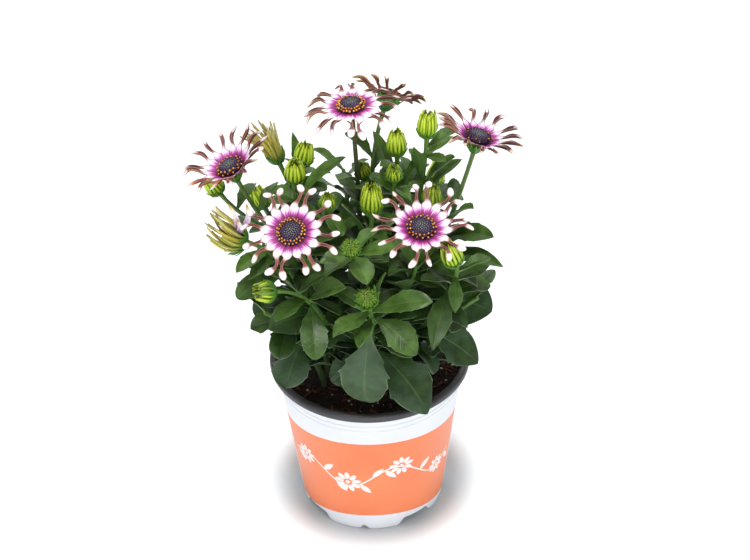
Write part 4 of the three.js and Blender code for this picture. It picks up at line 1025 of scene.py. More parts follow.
def fine_bud(name, head, seed, looks):
    """A bud: folded rays stand side by side round an open crown, with green scales at its foot."""
    core, strip, scale = looks
    shape = Shape()
    rng = np.random.default_rng(seed)
    axes = axes_array(head["axes"])
    middle = np.array(head["at"])
    size, tall = head["radius"] * 0.8, head["height"]
    green, woolly = name in GREEN_BUDS, name in WOOLLY_BUDS
    level = lambda t: (t - 0.5) * tall
    closed = 0.55 if woolly else 1.0
    shares = np.linspace(0, 0.8 if woolly else 0.72, 12)
    profile = [(size * bud_radius(t) * mix(1, closed, t) * 0.8, level(t)) for t in shares]
    shape.loft(turned_rings(profile, 20, middle, axes), marks_of(shares[:, None], 0.0, 0.2), core)
    count = 19 if woolly else 14
    outer_rows = np.array([0.05, 0.14, 0.26, 0.38, 0.5, 0.61, 0.71, 0.8, 0.88, 0.94, 0.98, 1.0])
    inner_rows = np.array([0.05, 0.3, 0.56, 0.76, 0.9, 0.97, 1.0])
    u = np.array([-1, -0.66, -0.3, 0, 0.3, 0.66, 1])[None, :]
    for layer in range(3):
        t = inner_rows if layer else outer_rows
        for i in range(count):
            turn = 2 * math.pi * (i + 0.5 * layer) / count + rng.uniform(-0.05, 0.05)
            reach = rng.uniform(0.84, 1.06) - 0.03 * layer
            share = t * reach
            inset = (1.0, 0.8, 0.56)[layer]
            radius = size * bud_radius(share) * mix(1, closed, share ** 2)
            radius = radius * mix(1.0, inset, smooth(0.0, 0.5, share))
            radius = radius + rng.uniform(-0.9, 0.7) * smooth(0.5, 1.0, t)
            narrow = 1.0 - 0.24 * smooth(0.2, 0.6, t) * (1.0 if woolly else rng.uniform(0.7, 1.3))
            half = (math.pi * size / count) * narrow * (1 - 0.9 * smooth(0.84, 1.02, t)) + 0.1
            half = half * np.minimum(1, bud_radius(share) * 1.15)
            aside = rng.uniform(-0.9, 0.9) * smooth(0.3, 1, t)
            outward, tangent = outward_and_tangent(axes, turn)
            crest = (1.15 - 0.2 * layer) * (1 - np.abs(u) ** 2.4) * (1 - 0.45 * t[:, None])
            crest = crest * smooth(0.0, 0.3, t)[:, None]
            centre = (middle + radius[:, None] * outward + level(share)[:, None] * axes[2]
                      + aside[:, None] * tangent)
            base = centre[:, None] + (half[:, None] * u)[..., None] * tangent
            drop = -(half[:, None] * u) ** 2 / (2 * np.maximum(radius[:, None], 1.2))
            outer = base + (crest + drop)[..., None] * outward
            inner = base + (crest * 0.2 + drop - 0.45)[..., None] * outward
            # Inner layers get a lower tone, which paints them darker: painted shade inside the bud.
            tone = rng.uniform(0.36, 0.8) * (0.25 if woolly else 0.5 if green else 1) * (1 - 0.12 * layer)
            shape.blade(outer, inner, marks_of(share[:, None], u, tone), strip)
    high = 0.5 if green else 0.34
    for row in range(2):
        for i in range(SCALES):
            turn = 2 * math.pi * (i + 0.5 * row) / SCALES + rng.uniform(-0.08, 0.08)
            reach = high + rng.uniform(-0.07, 0.1) - 0.08 * row
            foot = np.array((size * 0.26, level(0.0)))
            belly = np.array((size * (0.9 + 0.06 * row), level(0.05)))
            tip = np.array((size * bud_radius(reach) + 0.9 + rng.uniform(0, 0.4), level(reach)))
            bract(shape, head, turn, foot, belly, tip, 2 * math.pi * size / SCALES * 0.8, scale, rng)
    if woolly:
        wool(shape, head, size, tall, rng, strip)
    if name == LEAFY_BUD:
        leafy_bracts(shape, head, size, tall, rng, scale)
    return shape


def wool(shape, head, size, tall, rng, look):
    """Short curved hairs that cover the crown of a young bud."""
    axes = axes_array(head["axes"])
    for k in range(HAIRS):
        polar = math.radians(78) * math.sqrt((k + 0.5) / HAIRS)
        turn = k * GOLDEN_ANGLE
        outward, _ = outward_and_tangent(axes, turn)
        normal = math.cos(polar) * axes[2] + math.sin(polar) * outward
        foot = np.array(head["at"]) + normal * np.array(size * 0.86) + axes[2] * tall * 0.02
        lean = -math.sin(polar) * axes[2] + math.cos(polar) * outward
        bow = rng.uniform(0.3, 1.3) * (-1 if rng.random() < 0.75 else 1)
        height = rng.uniform(1.2, 2.4)
        t = np.array([0, 0.35, 0.7, 1.0])[:, None]
        centres = foot + t * height * normal + bow * t ** 2 * lean
        centres = centres + rng.uniform(-0.5, 0.5) * t ** 2 * np.cross(normal, lean)
        rings = tube_rings(centres, np.array([0.24, 0.22, 0.17, 0.06]), 5, first_side=tuple(axes[0]))
        shape.loft(rings, marks_of(0.3 + 0.5 * t, 0.0, rng.uniform(0.05, 0.3)), look)


def leafy_bracts(shape, head, size, tall, rng, look):
    """Narrow leaflets that stand away from a young bud and curl at their tips."""
    axes = axes_array(head["axes"])
    for i in range(LEAFLETS):
        turn = 2 * math.pi * i / LEAFLETS + rng.uniform(-0.15, 0.15)
        outward, tangent = outward_and_tangent(axes, turn)
        t = np.linspace(0, 1, 10)
        reach, high = rng.uniform(3.5, 6.5), rng.uniform(6, 10)
        out = size * 0.7 + reach * t ** 1.3
        up = -tall * 0.42 + high * t * (1 - 0.25 * t)
        wave = rng.uniform(0.4, 1.0) * np.sin(5 * t + rng.uniform(0, 3)) * t
        half = np.interp(t, (0, 0.4, 0.62, 0.66, 1), (0.8, 1.5, 1.3, 0.9, 0.12))
        u = np.array([-1, -0.4, 0.4, 1])[None, :]
        centre = (np.array(head["at"]) + out[:, None] * outward + up[:, None] * axes[2]
                  + wave[:, None] * tangent)
        base = centre[:, None] + (half[:, None] * u)[..., None] * tangent
        lift = (0.5 * u ** 2 * np.sin(4 * t)[:, None])[..., None] * outward
        upper, lower = base + lift + 0.16 * outward, base + lift - 0.16 * outward
        shape.blade(upper, lower, marks_of(t[:, None], u, 0.75), look)


# For each closing bloom: its radius at some shares of its height as shares of its size, the way in which its
# rays splay at their tips, how far in mm, and how evenly, how uneven its cup is in mm, and the share of its
# height that its longest ray has.
CLOSING_STYLE = {
    "closing_g": dict(flare=(0.36, 0.48, 0.56, 0.62, 0.78, 0.94), splay=(-0.9, 0.1, -0.2), reach=9.0,
                      even=0.0, cup=0.0, longest=1.0),
    "closing_h": dict(flare=(0.4, 0.74, 0.98, 1.1, 1.14, 1.1), splay=(0.1, -0.1, 1.0), reach=8.0, even=1.0,
                      cup=1.6, longest=0.86),
}
# Open rays that stand up out of a closing bloom: where each one's foot and tip are from the bloom's middle.
STRAY_RAYS = {"closing_h": (((8, -1, 5), (4, -2, 25)), ((11, 0, 5), (15, -1, 24)), ((9, -2, 4), (9, -6, 16)))}


def stray_ray(shape, middle, foot, tip, look):
    """A single ray that has stayed open, folded along its middle, from its foot to its pointed tip."""
    t = np.linspace(0, 1, 12)[:, None]
    u = np.array([-1, -0.5, 0, 0.5, 1])[None, :]
    foot, tip = middle + np.array(foot, float), middle + np.array(tip, float)
    bulge = np.array((0.12, -0.1, 0)) * np.linalg.norm(tip - foot)
    centre = foot + (tip - foot) * t + bulge * np.sin(math.pi * t)
    along = unit_rows(np.gradient(centre, axis=0))
    side = unit_rows(np.cross(along, np.array((0.1, -1.0, 0.3))))
    face = np.cross(side, along)
    half = np.interp(t, (0, 0.35, 0.7, 0.9, 1), (0.9, 2.0, 1.3, 0.9, 0.15)) * np.ones_like(u)
    fold = 0.5 * half * np.abs(u)
    base = centre[:, None] + (half * u)[..., None] * side[:, None]
    inner = base + (fold - 0.16)[..., None] * face[:, None]
    outer = base + (fold + 0.16)[..., None] * face[:, None]
    shape.blade(outer, inner, marks_of(t, u, 0.5), look)


def fine_closing(name, head, seed, looks):
    """A closing bloom: rays folded lengthwise into a brush that stands out of its green scales."""
    core, strand, scale, open_ray = looks
    shape = Shape()
    rng = np.random.default_rng(seed)
    axes = axes_array(head["axes"])
    middle = np.array(head["at"])
    size, tall = head["radius"], head["height"]
    level = lambda t: (t - 0.5) * tall
    core_shape = ((0, 0.2), (0.06, 0.34), (0.14, 0.42), (0.26, 0.46), (0.38, 0.44), (0.46, 0.4), (0.5, 0.26))
    profile = [(size * r, level(t)) for t, r in core_shape]
    add_core(shape, profile, 24, head, 0.3, core)
    t = np.linspace(0, 1, 16)
    u = np.array([-1, -0.6, 0, 0.6, 1])[None, :]
    style = CLOSING_STYLE[name]
    splay = np.array(style["splay"])
    for layer, (count, first, inset) in enumerate(((15, 0.07, 1.0), (11, 0.2, 0.74), (7, 0.3, 0.45))):
        for i in range(count):
            turn = 2 * math.pi * (i + 0.5 * (layer % 2)) / count + rng.uniform(-0.09, 0.09)
            outward, tangent = outward_and_tangent(axes, turn)
            reach = rng.uniform(0.72, 1.0) * style["longest"]
            share = mix(first, reach, t)
            flare = np.interp(share, (0.07, 0.16, 0.3, 0.5, 0.75, 1.02), style["flare"]) * inset
            radius = size * (flare + rng.uniform(-0.12, 0.08) * t)
            radius = radius + style["cup"] * rng.uniform(-1, 1) * t ** 3
            half = np.interp(t, (0, 0.2, 0.6, 0.86, 0.96, 1), (0.9, 1.3, 1.05, 0.8, 0.55, 0.2))
            half = half * rng.uniform(0.75, 1.1)
            aside = rng.uniform(-2.2, 2.2) * t ** 2
            spread = mix(max(0.0, 0.35 + outward @ splay), 1.0, style["even"])
            away = style["reach"] * spread * rng.uniform(0.5, 1.1) * t ** 2.2
            centre = (middle + radius[:, None] * outward + level(share)[:, None] * axes[2]
                      + aside[:, None] * tangent + away[:, None] * splay)
            base = centre[:, None] + (half[:, None] * u)[..., None] * tangent
            crest = 0.8 * (1 - u ** 2) * np.ones((len(t), 1))
            outer = base + crest[..., None] * outward
            inner = base + (crest * 0.55 - 0.4)[..., None] * outward
            shape.blade(outer, inner, marks_of(t[:, None], u, rng.random()), strand)
    for lean, reach in STRAY_RAYS.get(name, ()):
        stray_ray(shape, middle, lean, reach, open_ray)
    for row in range(2):
        for i in range(SCALES):
            turn = 2 * math.pi * (i + 0.5 * row) / SCALES + rng.uniform(-0.06, 0.06)
            reach = 0.32 + rng.uniform(-0.05, 0.05) - 0.08 * row
            foot = np.array((size * 0.22, level(0.0)))
            belly = np.array((size * (style["flare"][1] + 0.16), level(0.05)))
            tip = np.array((size * (style["flare"][2] + 0.12) + rng.uniform(0, 0.5), level(reach)))
            bract(shape, head, turn, foot, belly, tip, 2 * math.pi * size / SCALES * 0.6, scale, rng)
    return shape


# ---------------------------------------------------------------- pot and soil

POT_SIDES = 192
BEADS = ((99.5, 0.35, 0.7), (95.6, 0.3, 0.6))  # rings pressed into the wall: height, depth, width
# Drainage notches: middle, half-width of the top and half-width of the mouth, in degrees.
FOOT_WIDE = (36.0, 9.5, 17.0)
FOOT_NARROW = (82.0, 1.0, 4.0)
BAND_RADIUS = 53  # of the wall at the middle of the printed band


def pot_inside(z):
    share = z / (POT["height"] - POT["rim_depth"])
    return mix(POT["foot_radius"], POT["neck_radius"], share) - POT["wall"]


def pot_notches(degrees):
    """How far the foot is cut up at each angle, in mm. The cuts repeat in each quarter."""
    quarter = np.mod(degrees + 45, 90) - 45
    lift = np.zeros_like(degrees)
    deep = POT["foot_height"]
    for (middle, top, mouth), high in ((FOOT_WIDE, deep + 0.4), (FOOT_NARROW, deep / 2)):
        apart = np.abs(np.mod(quarter - middle + 45, 90) - 45)
        lift = np.maximum(lift, high * (1 - smooth(top, mouth, apart)))
    return lift


def fine_pot():
    """The pot as one turned sheet: white outside, and black inside and over the rolled rim."""
    neck = POT["height"] - POT["rim_depth"]
    foot, floor_top = POT["foot_radius"], POT["foot_height"] + POT["wall"]
    foot_inside = foot - POT["foot_width"]
    pad, recess = POT["pad_radius"], POT["foot_height"]
    base = [(0.6, 0), (pad - 1, 0), (pad, 0.4), (pad + 3.6, recess - 0.4), (pad + 4.4, recess),
            (foot_inside - 3, recess), (foot_inside - 2, recess - 0.4), (foot_inside - 0.6, 0.4),
            (foot_inside, 0), (foot - 0.5, 0)]
    wall = []
    heights = np.concatenate([[0.6], np.linspace(2, 15, 8), np.linspace(16, 19, 7), np.linspace(22, 92, 22),
                              np.linspace(93.5, 102, 20), [104, 106]])
    for z in heights:
        radius = mix(foot, POT["neck_radius"], z / neck)
        for at, depth, width in BEADS:
            ridge, hollow = (z - at) / width, (z - at - 1.7 * width) / width
            radius += depth * math.exp(-(ridge ** 2)) - 0.6 * depth * math.exp(-(hollow ** 2))
        wall.append((radius, z))
    rim = [(60.7, neck - 0.6), (61.3, neck - 0.1), (63.4, neck), (64.3, neck + 0.25), (64.85, neck + 0.9),
           (65, neck + 1.8), (64.9, 111.2), (64.5, 112.1), (63.8, 112.7), (62.9, 113), (61.9, 113),
           (61.1, 112.75), (60.4, 112.2), (60.0, 111.4), (59.6, 109.6), (pot_inside(neck), neck - 1.2)]
    inside = [(pot_inside(z), z) for z in (103, 99, 80, 50, 20, floor_top + 1.2)]
    corner = pot_inside(floor_top)
    inside += [(corner - 0.6, floor_top + 0.2), (corner - 1.6, floor_top), (0.6, floor_top)]
    profile = base + wall + rim + inside
    rings = turned_rings(profile, POT_SIDES)
    degrees = np.arange(POT_SIDES) * 360 / POT_SIDES
    lift = pot_notches(degrees)
    for ring, (radius, z) in zip(rings, profile):
        if radius > foot_inside - 1 and z < POT["foot_height"] + 0.5:
            ring[:, 2] = np.maximum(ring[:, 2], z + lift * (1 - z / (POT["foot_height"] + 0.5)))
    shape = Shape()
    first_black = len(base) + len(wall) + 1
    looks = np.where(np.arange(len(profile) - 1) < first_black, 0, 1)
    shape.loft(rings, marks_of(np.linspace(0, 1, len(profile))[:, None], 0.0, 0.5), looks)
    for turn in (0, 180):
        printed_vine(shape, 2, turn)
    return shape


def on_wall(angle, z, out):
    """Points on the pot's outer wall: degrees from the front, height in mm, and how far they stand out."""
    angle, z, out = np.broadcast_arrays(*(np.asarray(v, float) for v in (angle, z, out)))
    radius = mix(POT["foot_radius"], POT["neck_radius"], z / (POT["height"] - POT["rim_depth"])) + out
    turn = np.radians(angle)
    return np.stack([radius * np.sin(turn), -radius * np.cos(turn), z], axis=-1)


def print_patch(shape, angle, z, half, look, turn=0.0):
    """A thin raised patch of ink along a line of angles and heights, with its half-width in mm."""
    angle, z, half = (np.asarray(v, float) for v in (angle, z, half))
    arc_length = np.gradient(np.radians(angle) * BAND_RADIUS)
    rise = np.gradient(z)
    size = np.maximum(np.hypot(arc_length, rise), 1e-6)
    across_angle, across_z = -rise / size, arc_length / size
    u = np.array([-1, 0, 1.0])[None, :]
    spread = half[:, None] * u
    angles = angle[:, None] + turn + np.degrees(spread * across_angle[:, None] / BAND_RADIUS)
    heights = z[:, None] + spread * across_z[:, None]
    upper, lower = on_wall(angles, heights, 0.1), on_wall(angles, heights, -0.25)
    shape.blade(lower[:, ::-1], upper[:, ::-1], marks_of(np.linspace(0, 1, len(z))[:, None], u, 0.5), look)


# Printed daisies: degrees from the front, height, and length of a petal.
DAISIES = ((-52, 57, 7.5), (-18, 46, 9), (20, 60, 8), (52, 44, 7))
VINE = dict(first=-66, last=66, middle=51, swing=9, wave=68)


def vine_height(angle):
    return VINE["middle"] - VINE["swing"] * np.sin(2 * math.pi * (angle + 35) / VINE["wave"])


def printed_vine(shape, look, turn):
    """A plain white line drawing on the band: a waving stem with leaves and daisies."""
    angle = np.linspace(VINE["first"], VINE["last"], 70)
    half = 0.55 * np.sin(math.pi * np.linspace(0.04, 0.96, 70)) ** 0.4
    print_patch(shape, angle, vine_height(angle), half, look, turn)
    for k in range(15):
        root = mix(VINE["first"] + 4, VINE["last"] - 4, k / 14)
        if min(abs(root - daisy[0]) for daisy in DAISIES) < 8:
            continue
        way = 1 if k % 2 else -1
        t = np.linspace(0, 1, 10)
        leaf_angle = root + 7.5 * t
        leaf_z = vine_height(root) + way * 8 * t ** 0.8
        print_patch(shape, leaf_angle, leaf_z, 1.9 * np.sin(math.pi * t ** 0.8) ** 0.9 + 0.12, look, turn)
    for middle, height, size in DAISIES:
        for k in range(9):
            way = 2 * math.pi * (k + 0.3) / 9
            t = np.linspace(0.32, 1, 9)
            petal_angle = middle + np.degrees(size * t * math.cos(way) / BAND_RADIUS)
            petal_z = height + size * t * math.sin(way)
            half = size * 0.19 * np.sin(math.pi * np.clip((t - 0.32) / 0.68, 0.05, 0.97)) ** 0.5
            print_patch(shape, petal_angle, petal_z, half, look, turn)
        t = np.linspace(-0.17, 0.17, 7)
        print_patch(shape, middle + np.degrees(size * t / BAND_RADIUS), np.full(7, height),
                    size * np.sqrt(np.maximum(0.17 ** 2 - t ** 2, 1e-4)), look, turn)


SOIL_RINGS, SOIL_SIDES = 42, 132
SPECKS = dict(grains=620, perlite=70, splinters=170)


def lump(shape, at, size, rng, look, squash=0.7):
    """A small irregular grain."""
    rows, sides = 5, 6
    angles = np.arange(sides) * 2 * math.pi / sides + rng.uniform(0, 6)
    polar = np.linspace(0.25, math.pi - 0.25, rows)
    bumps = rng.uniform(0.75, 1.2, (rows, sides))
    stretch = rng.uniform(0.7, 1.3, 2)
    rings = np.stack([
        np.sin(polar)[:, None] * np.cos(angles) * bumps * stretch[0],
        np.sin(polar)[:, None] * np.sin(angles) * bumps * stretch[1],
        -np.cos(polar)[:, None] * squash * np.ones(sides) * rng.uniform(0.8, 1.1, (rows, 1))], axis=-1)
    turn = rng.uniform(0, 2 * math.pi)
    c, d = math.cos(turn), math.sin(turn)
    rings = rings @ np.array([[c, d, 0], [-d, c, 0], [0, 0, 1]])
    shape.loft(np.array(at) + rings * size, marks_of(0.5, 0.0, rng.random()), look)


def chip(shape, at, size, thickness, rng, look):
    """A flat splinter of bark or a fibre, lying at a slant."""
    turn, tilt = rng.uniform(0, 2 * math.pi), rng.uniform(-0.35, 0.35)
    along = np.array((math.cos(turn) * math.cos(tilt), math.sin(turn) * math.cos(tilt), math.sin(tilt)))
    side = unit_rows(np.cross((0, 0, 1.0), along) + rng.uniform(-0.3, 0.3, 3))
    face = np.cross(along, side)
    t = np.linspace(-1, 1, 6)
    half = size[1] / 2 * (1 - 0.7 * np.abs(t) ** 3) * rng.uniform(0.75, 1.2, 6)
    u = np.array([-1, -0.4, 0.4, 1])[None, :]
    bend = rng.uniform(-0.2, 0.2) * size[0] / 2
    base = (np.array(at) + (t * size[0] / 2)[:, None, None] * along - (half[:, None] * u)[..., None] * side
            + (bend * (t ** 2))[:, None, None] * face)
    upper, lower = base + face * thickness / 2, base - face * thickness / 2
    shape.blade(upper, lower, marks_of(t[:, None], u, rng.random()), look)


def soil_height(x, y):
    """Height of the soil's surface in mm: slow swells with fine crumbs on them."""
    swell = noise.noise(Vector((x / 22, y / 22, 3.1)))
    crumbs = noise.noise(Vector((x / 5.5, y / 5.5, 8.2)))
    grain = noise.noise(Vector((x / 2.1, y / 2.1, 1.7)))
    return SOIL_TOP + 1.3 * swell + 1.1 * crumbs + 0.6 * grain


def fine_soil():
    """Peat with a crumbly surface, grains, splinters of bark and white perlite."""
    shape = Shape()
    rng = np.random.default_rng(SEED["soil"])
    floor = POT["foot_height"] + POT["wall"] + CLEARANCE
    edge = lambda z: pot_inside(z) - CLEARANCE - 0.2
    profile = [(0.6, floor)] + [(edge(z), z) for z in (floor, 60, 96, SOIL_TOP - 1)]
    surface = [(r, SOIL_TOP) for r in np.linspace(edge(SOIL_TOP) - 0.8, 0.4, SOIL_RINGS)]
    rings = np.concatenate([turned_rings(profile, SOIL_SIDES), turned_rings(surface, SOIL_SIDES)])
    for ring in rings[len(profile):]:
        ring[:, 2] = [soil_height(x, y) for x, y in ring[:, :2]]
    shape.loft(rings, marks_of(0.5, 0.0, 0.5), 0)
    reach = edge(SOIL_TOP) - 1.5

    def spot():
        r, turn = reach * math.sqrt(rng.random()), rng.uniform(0, 2 * math.pi)
        x, y = r * math.cos(turn), r * math.sin(turn)
        return x, y, soil_height(x, y)

    for _ in range(SPECKS["grains"]):
        x, y, z = spot()
        lump(shape, (x, y, z + 0.1), rng.uniform(0.5, 1.7), rng, 1)
    for _ in range(SPECKS["perlite"]):
        x, y, z = spot()
        lump(shape, (x, y, z + 0.3), rng.uniform(0.4, 1.05), rng, 3, squash=0.85)
    for _ in range(SPECKS["splinters"]):
        x, y, z = spot()
        size = (rng.uniform(3, 9), rng.uniform(0.6, 2.4))
        x, y = (c * min(1, (reach - 4) / max(1, math.hypot(x, y))) for c in (x, y))
        chip(shape, (x, y, z + 0.7), size, rng.uniform(0.4, 0.8), rng, 2)
    return shape


# ---------------------------------------------------------------- materials


def colour(code):
    """Linear colour from an sRGB hex code."""
    channels = [int(code[i:i + 2], 16) / 255 for i in (0, 2, 4)]
    return [c / 12.92 if c <= 0.04045 else ((c + 0.055) / 1.055) ** 2.4 for c in channels] + [1.0]


NOISE_RANGE = (0.3, 0.7)  # most of a noise lies between these


class Graph:
    """A material and short ways to add nodes to it. A value is a number, a hex code or a node's output."""

    def __init__(self, name, roughness=0.5, **sockets):
        self.material = bpy.data.materials.new(name)
        self.material.use_nodes = True
        self.tree = self.material.node_tree
        self.shader = self.tree.nodes["Principled BSDF"]
        self.set(self.shader, {"Roughness": roughness})
        self.set(self.shader, {name.replace("_", " "): value for name, value in sockets.items()})
        mark = self.node("Attribute", attribute_name="mark")
        split = self.node("SeparateXYZ", {"Vector": mark.outputs["Vector"]})
        self.along, self.across, self.tone = split.outputs
        self.side = self.node("Attribute", attribute_name="side").outputs["Fac"]
        self.place = self.node("TexCoord").outputs["Object"]

    def node(self, kind, inputs=None, **settings):
        node = self.tree.nodes.new("ShaderNode" + kind)
        for key, value in settings.items():
            setattr(node, key, value)
        self.set(node, inputs or {})
        return node

    def set(self, node, inputs):
        for key, value in inputs.items():
            if isinstance(value, bpy.types.NodeSocket):
                self.tree.links.new(value, node.inputs[key])
            else:
                node.inputs[key].default_value = colour(value) if isinstance(value, str) else value

    def math(self, operation, a, b=0.0):
        return self.node("Math", {0: a, 1: b}, operation=operation).outputs[0]

    def times(self, a, b):
        return self.math("MULTIPLY", a, b)

    def plus(self, a, b):
        return self.math("ADD", a, b)

    def minus(self, a, b):
        return self.math("SUBTRACT", a, b)

    def edge(self):
        """How near a point is to either margin of its part, from 0 in the middle to 1."""
        return self.math("ABSOLUTE", self.across)

    def step(self, value, low, high, start=0.0, end=1.0):
        """A soft step from start at low to end at high."""
        inputs = {"Value": value, "From Min": low, "From Max": high, "To Min": start, "To Max": end}
        return self.node("MapRange", inputs, interpolation_type="SMOOTHSTEP").outputs["Result"]

    def spread(self, noise, start, end):
        """A value that follows noise from start to end."""
        return self.step(noise, *NOISE_RANGE, start, end)

    def mix(self, share, a, b):
        node = self.node("Mix", data_type="RGBA", blend_type="MIX")
        self.set(node, {0: share, 6: a, 7: b})
        return node.outputs[2]

    def noise(self, millimetres, detail=2.0, roughness=0.5, place=None):
        """Noise about 0.5 whose features are some millimetres wide."""
        inputs = {"Vector": place or self.place, "Scale": 1 / (millimetres * MM), "Detail": detail}
        return self.node("TexNoise", {**inputs, "Roughness": roughness}).outputs["Fac"]

    def ramp(self, value, *stops):
        node = self.node("ValToRGB", {"Fac": value})
        elements = node.color_ramp.elements
        while len(elements) < len(stops):
            elements.new(0.5)
        for element, (at, code) in zip(elements, stops):
            element.position = at
            element.color = colour(code)
        return node.outputs["Color"]

    def bright(self, tint, share):
        """A colour made lighter or darker by a share about 1."""
        node = self.node("HueSaturation", {"Color": tint, "Value": share})
        return node.outputs["Color"]

    def bump(self, height, millimetres, strength):
        node = self.node("Bump", {"Height": height, "Distance": millimetres * MM, "Strength": strength})
        self.set(self.shader, {"Normal": node.outputs["Normal"]})

    def done(self, base, roughness=None):
        self.set(self.shader, {"Base Color": base})
        if roughness is not None:
            self.set(self.shader, {"Roughness": roughness})
        return self.material


def leaf_look():
    g = Graph("leaf", Specular_IOR_Level=0.42)
    edge = g.edge()
    dark = g.ramp(g.tone, (0.1, "203918"), (0.5, "304b19"), (0.95, "4a6a21"))
    mottle = g.noise(7, 3)
    base = g.bright(dark, g.spread(mottle, 0.68, 1.26))
    # Side veins run forward from the midrib as soft lines.
    slant = g.minus(g.times(g.along, 9.0), g.times(edge, 1.7))
    wander = g.times(g.noise(9, 1), 1.2)
    wave = g.math("PINGPONG", g.plus(slant, wander), 0.5)
    vein = g.times(g.step(wave, 0.12, 0.0), g.step(edge, 0.95, 0.6))
    rib = g.times(g.step(edge, 0.07, 0.02), g.step(g.along, 1.0, 0.75))
    margin = g.step(edge, 0.95, 1.0)
    # Painted sheen: patches of the lower leaves are mixed greyer and bluer, standing in for the bluish
    # reflection on their waxy surface.
    bloom = g.times(g.step(g.noise(18, 2), 0.4, 0.62, 0.0, 0.42), g.step(g.tone, 0.6, 0.12, 0.12, 1.0))
    base = g.mix(bloom, base, "57705a")
    base = g.mix(g.times(vein, 0.035), base, "7fa055")
    base = g.mix(g.times(rib, 0.15), base, "82a458")
    base = g.mix(g.times(margin, g.step(g.noise(6, 2), 0.4, 0.6, 0.12, 0.42)), base, "a9c48c")
    base = g.mix(g.step(g.along, 0.24, 0.02, 0.0, 0.55), base, "5f8a35")
    under = g.mix(g.tone, "3d5432", "4f7034")
    base = g.mix(g.side, under, base)
    fine = g.noise(0.9, 4)
    relief = g.plus(g.times(fine, 0.35), g.times(vein, -0.2))
    g.bump(g.minus(relief, g.times(rib, 0.8)), 0.5, 0.5)
    rough = g.plus(g.spread(mottle, 0.38, 0.52), g.times(g.tone, -0.08))
    return g.done(base, rough)


def stem_look():
    g = Graph("stem", roughness=0.5)
    base = g.ramp(g.tone, (0.0, "38492a"), (0.45, "41662a"), (1.0, "648a38"))
    base = g.mix(g.across, base, "3a3020")
    streak = g.node("Mapping", {"Vector": g.place, "Scale": (1, 1, 0.12)}).outputs["Vector"]
    lines = g.noise(1.2, 3, place=streak)
    base = g.bright(base, g.spread(lines, 0.75, 1.15))
    g.bump(lines, 0.35, 0.5)
    return g.done(base)


def ray_look():
    """A ray: violet base with streaks, white blade, red-brown reverse that shows on the tube, white spoon."""
    g = Graph("ray_petal", roughness=0.55)
    edge = g.edge()
    streaks = g.node("CombineXYZ", {"X": g.times(g.across, 5.5), "Y": g.times(g.along, 2.2),
                                    "Z": g.times(g.tone, 40.0)}).outputs["Vector"]
    streak = g.node("TexNoise", {"Vector": streaks, "Scale": 1.0, "Detail": 3.0}).outputs["Fac"]
    reach = g.plus(g.along, g.times(g.minus(streak, 0.5), -0.3))
    reach = g.minus(reach, g.step(edge, 0.5, 1.0, 0.0, 0.05))
    upper = g.ramp(reach, (0.0, "36082c"), (0.05, "66104e"), (0.11, "98216f"), (0.165, "b93c9e"),
                   (0.205, "d48acb"), (0.25, "eccce6"), (0.31, "f6e9f3"), (0.72, "f4e2e4"),
                   (0.86, "f3e6e8"), (1.0, "fffcf6"))
    lines = g.times(g.step(g.math("PINGPONG", g.times(g.across, 2.6), 0.5), 0.14, 0.0),
                   g.step(g.along, 0.5, 0.08, 0.0, 0.6))
    upper = g.mix(lines, upper, "8a3a86")
    # Between the blades runs a thin dark violet line of painted shade where they lap over each other; it
    # turns to a brownish margin where the ray rolls up.
    painted_gap_shade = g.times(g.step(edge, 0.86, 0.97), g.step(g.along, 0.4, 0.28, 0.0, 0.75))
    upper = g.mix(painted_gap_shade, upper, "54284e")
    lip = g.times(g.step(edge, 0.88, 0.98), g.step(g.along, 0.28, 0.4, 0.0, 0.85))
    upper = g.mix(lip, upper, "98503e")
    blush = g.times(g.step(g.along, 0.4, 0.52), g.step(g.along, 0.84, 0.76))
    hollow = g.mix(g.tone, "a8452c", "642a18")
    # The middle of the inner face, deep in the rolled tube, is painted dark as shade.
    hollow = g.mix(g.step(edge, 0.5, 0.1, 0.0, 0.6), hollow, "4c1414")
    hollow = g.mix(g.step(edge, 0.8, 0.97, 0.0, 0.6), hollow, "d89a8a")
    upper = g.mix(g.times(blush, 0.92), upper, hollow)
    under = g.ramp(g.along, (0.0, "9d7a72"), (0.3, "c9938a"), (0.4, "a03e2a"), (0.5, "842a18"),
                   (0.64, "762010"), (0.74, "90321c"), (0.81, "cc8a72"), (0.87, "f3e2d8"), (0.97, "fdf8f2"))
    dusky = g.ramp(g.along, (0.0, "8a6a62"), (0.3, "84482e"), (0.5, "662c14"), (0.66, "70381a"),
                   (0.8, "845224"), (0.9, "987a34"), (1.0, "b8a668"))
    under = g.mix(g.step(g.tone, 0.25, 0.95, 0.0, 1.0), under, dusky)
    # Along the tube one half is painted dark maroon as shade, the other is warm brown with a pale streak, a
    # painted highlight. The rims are pale.
    painted_shade_half = g.times(g.step(g.across, 0.12, 0.34), g.step(g.along, 0.22, 0.38, 0.0, 0.85))
    under = g.mix(g.times(painted_shade_half, g.step(g.along, 0.95, 0.78)), under, "4a1a1c")
    # Painted highlight: a pale streak down the lighter half of the tube.
    pale = g.times(g.step(g.across, -0.5, -0.64), g.step(g.across, -0.9, -0.78))
    under = g.mix(g.times(pale, g.step(g.tone, 0.2, 0.9, 0.25, 0.5)), under, "d8a888")
    band = g.times(g.step(edge, 0.9, 0.99), g.step(g.tone, 0.2, 0.9, 0.4, 0.65))
    under = g.mix(band, under, "ecc8b8")
    under = g.bright(under, g.spread(streak, 0.76, 1.2))
    base = g.mix(g.side, under, upper)
    g.bump(streak, 0.3, 0.5)
    return g.done(base)


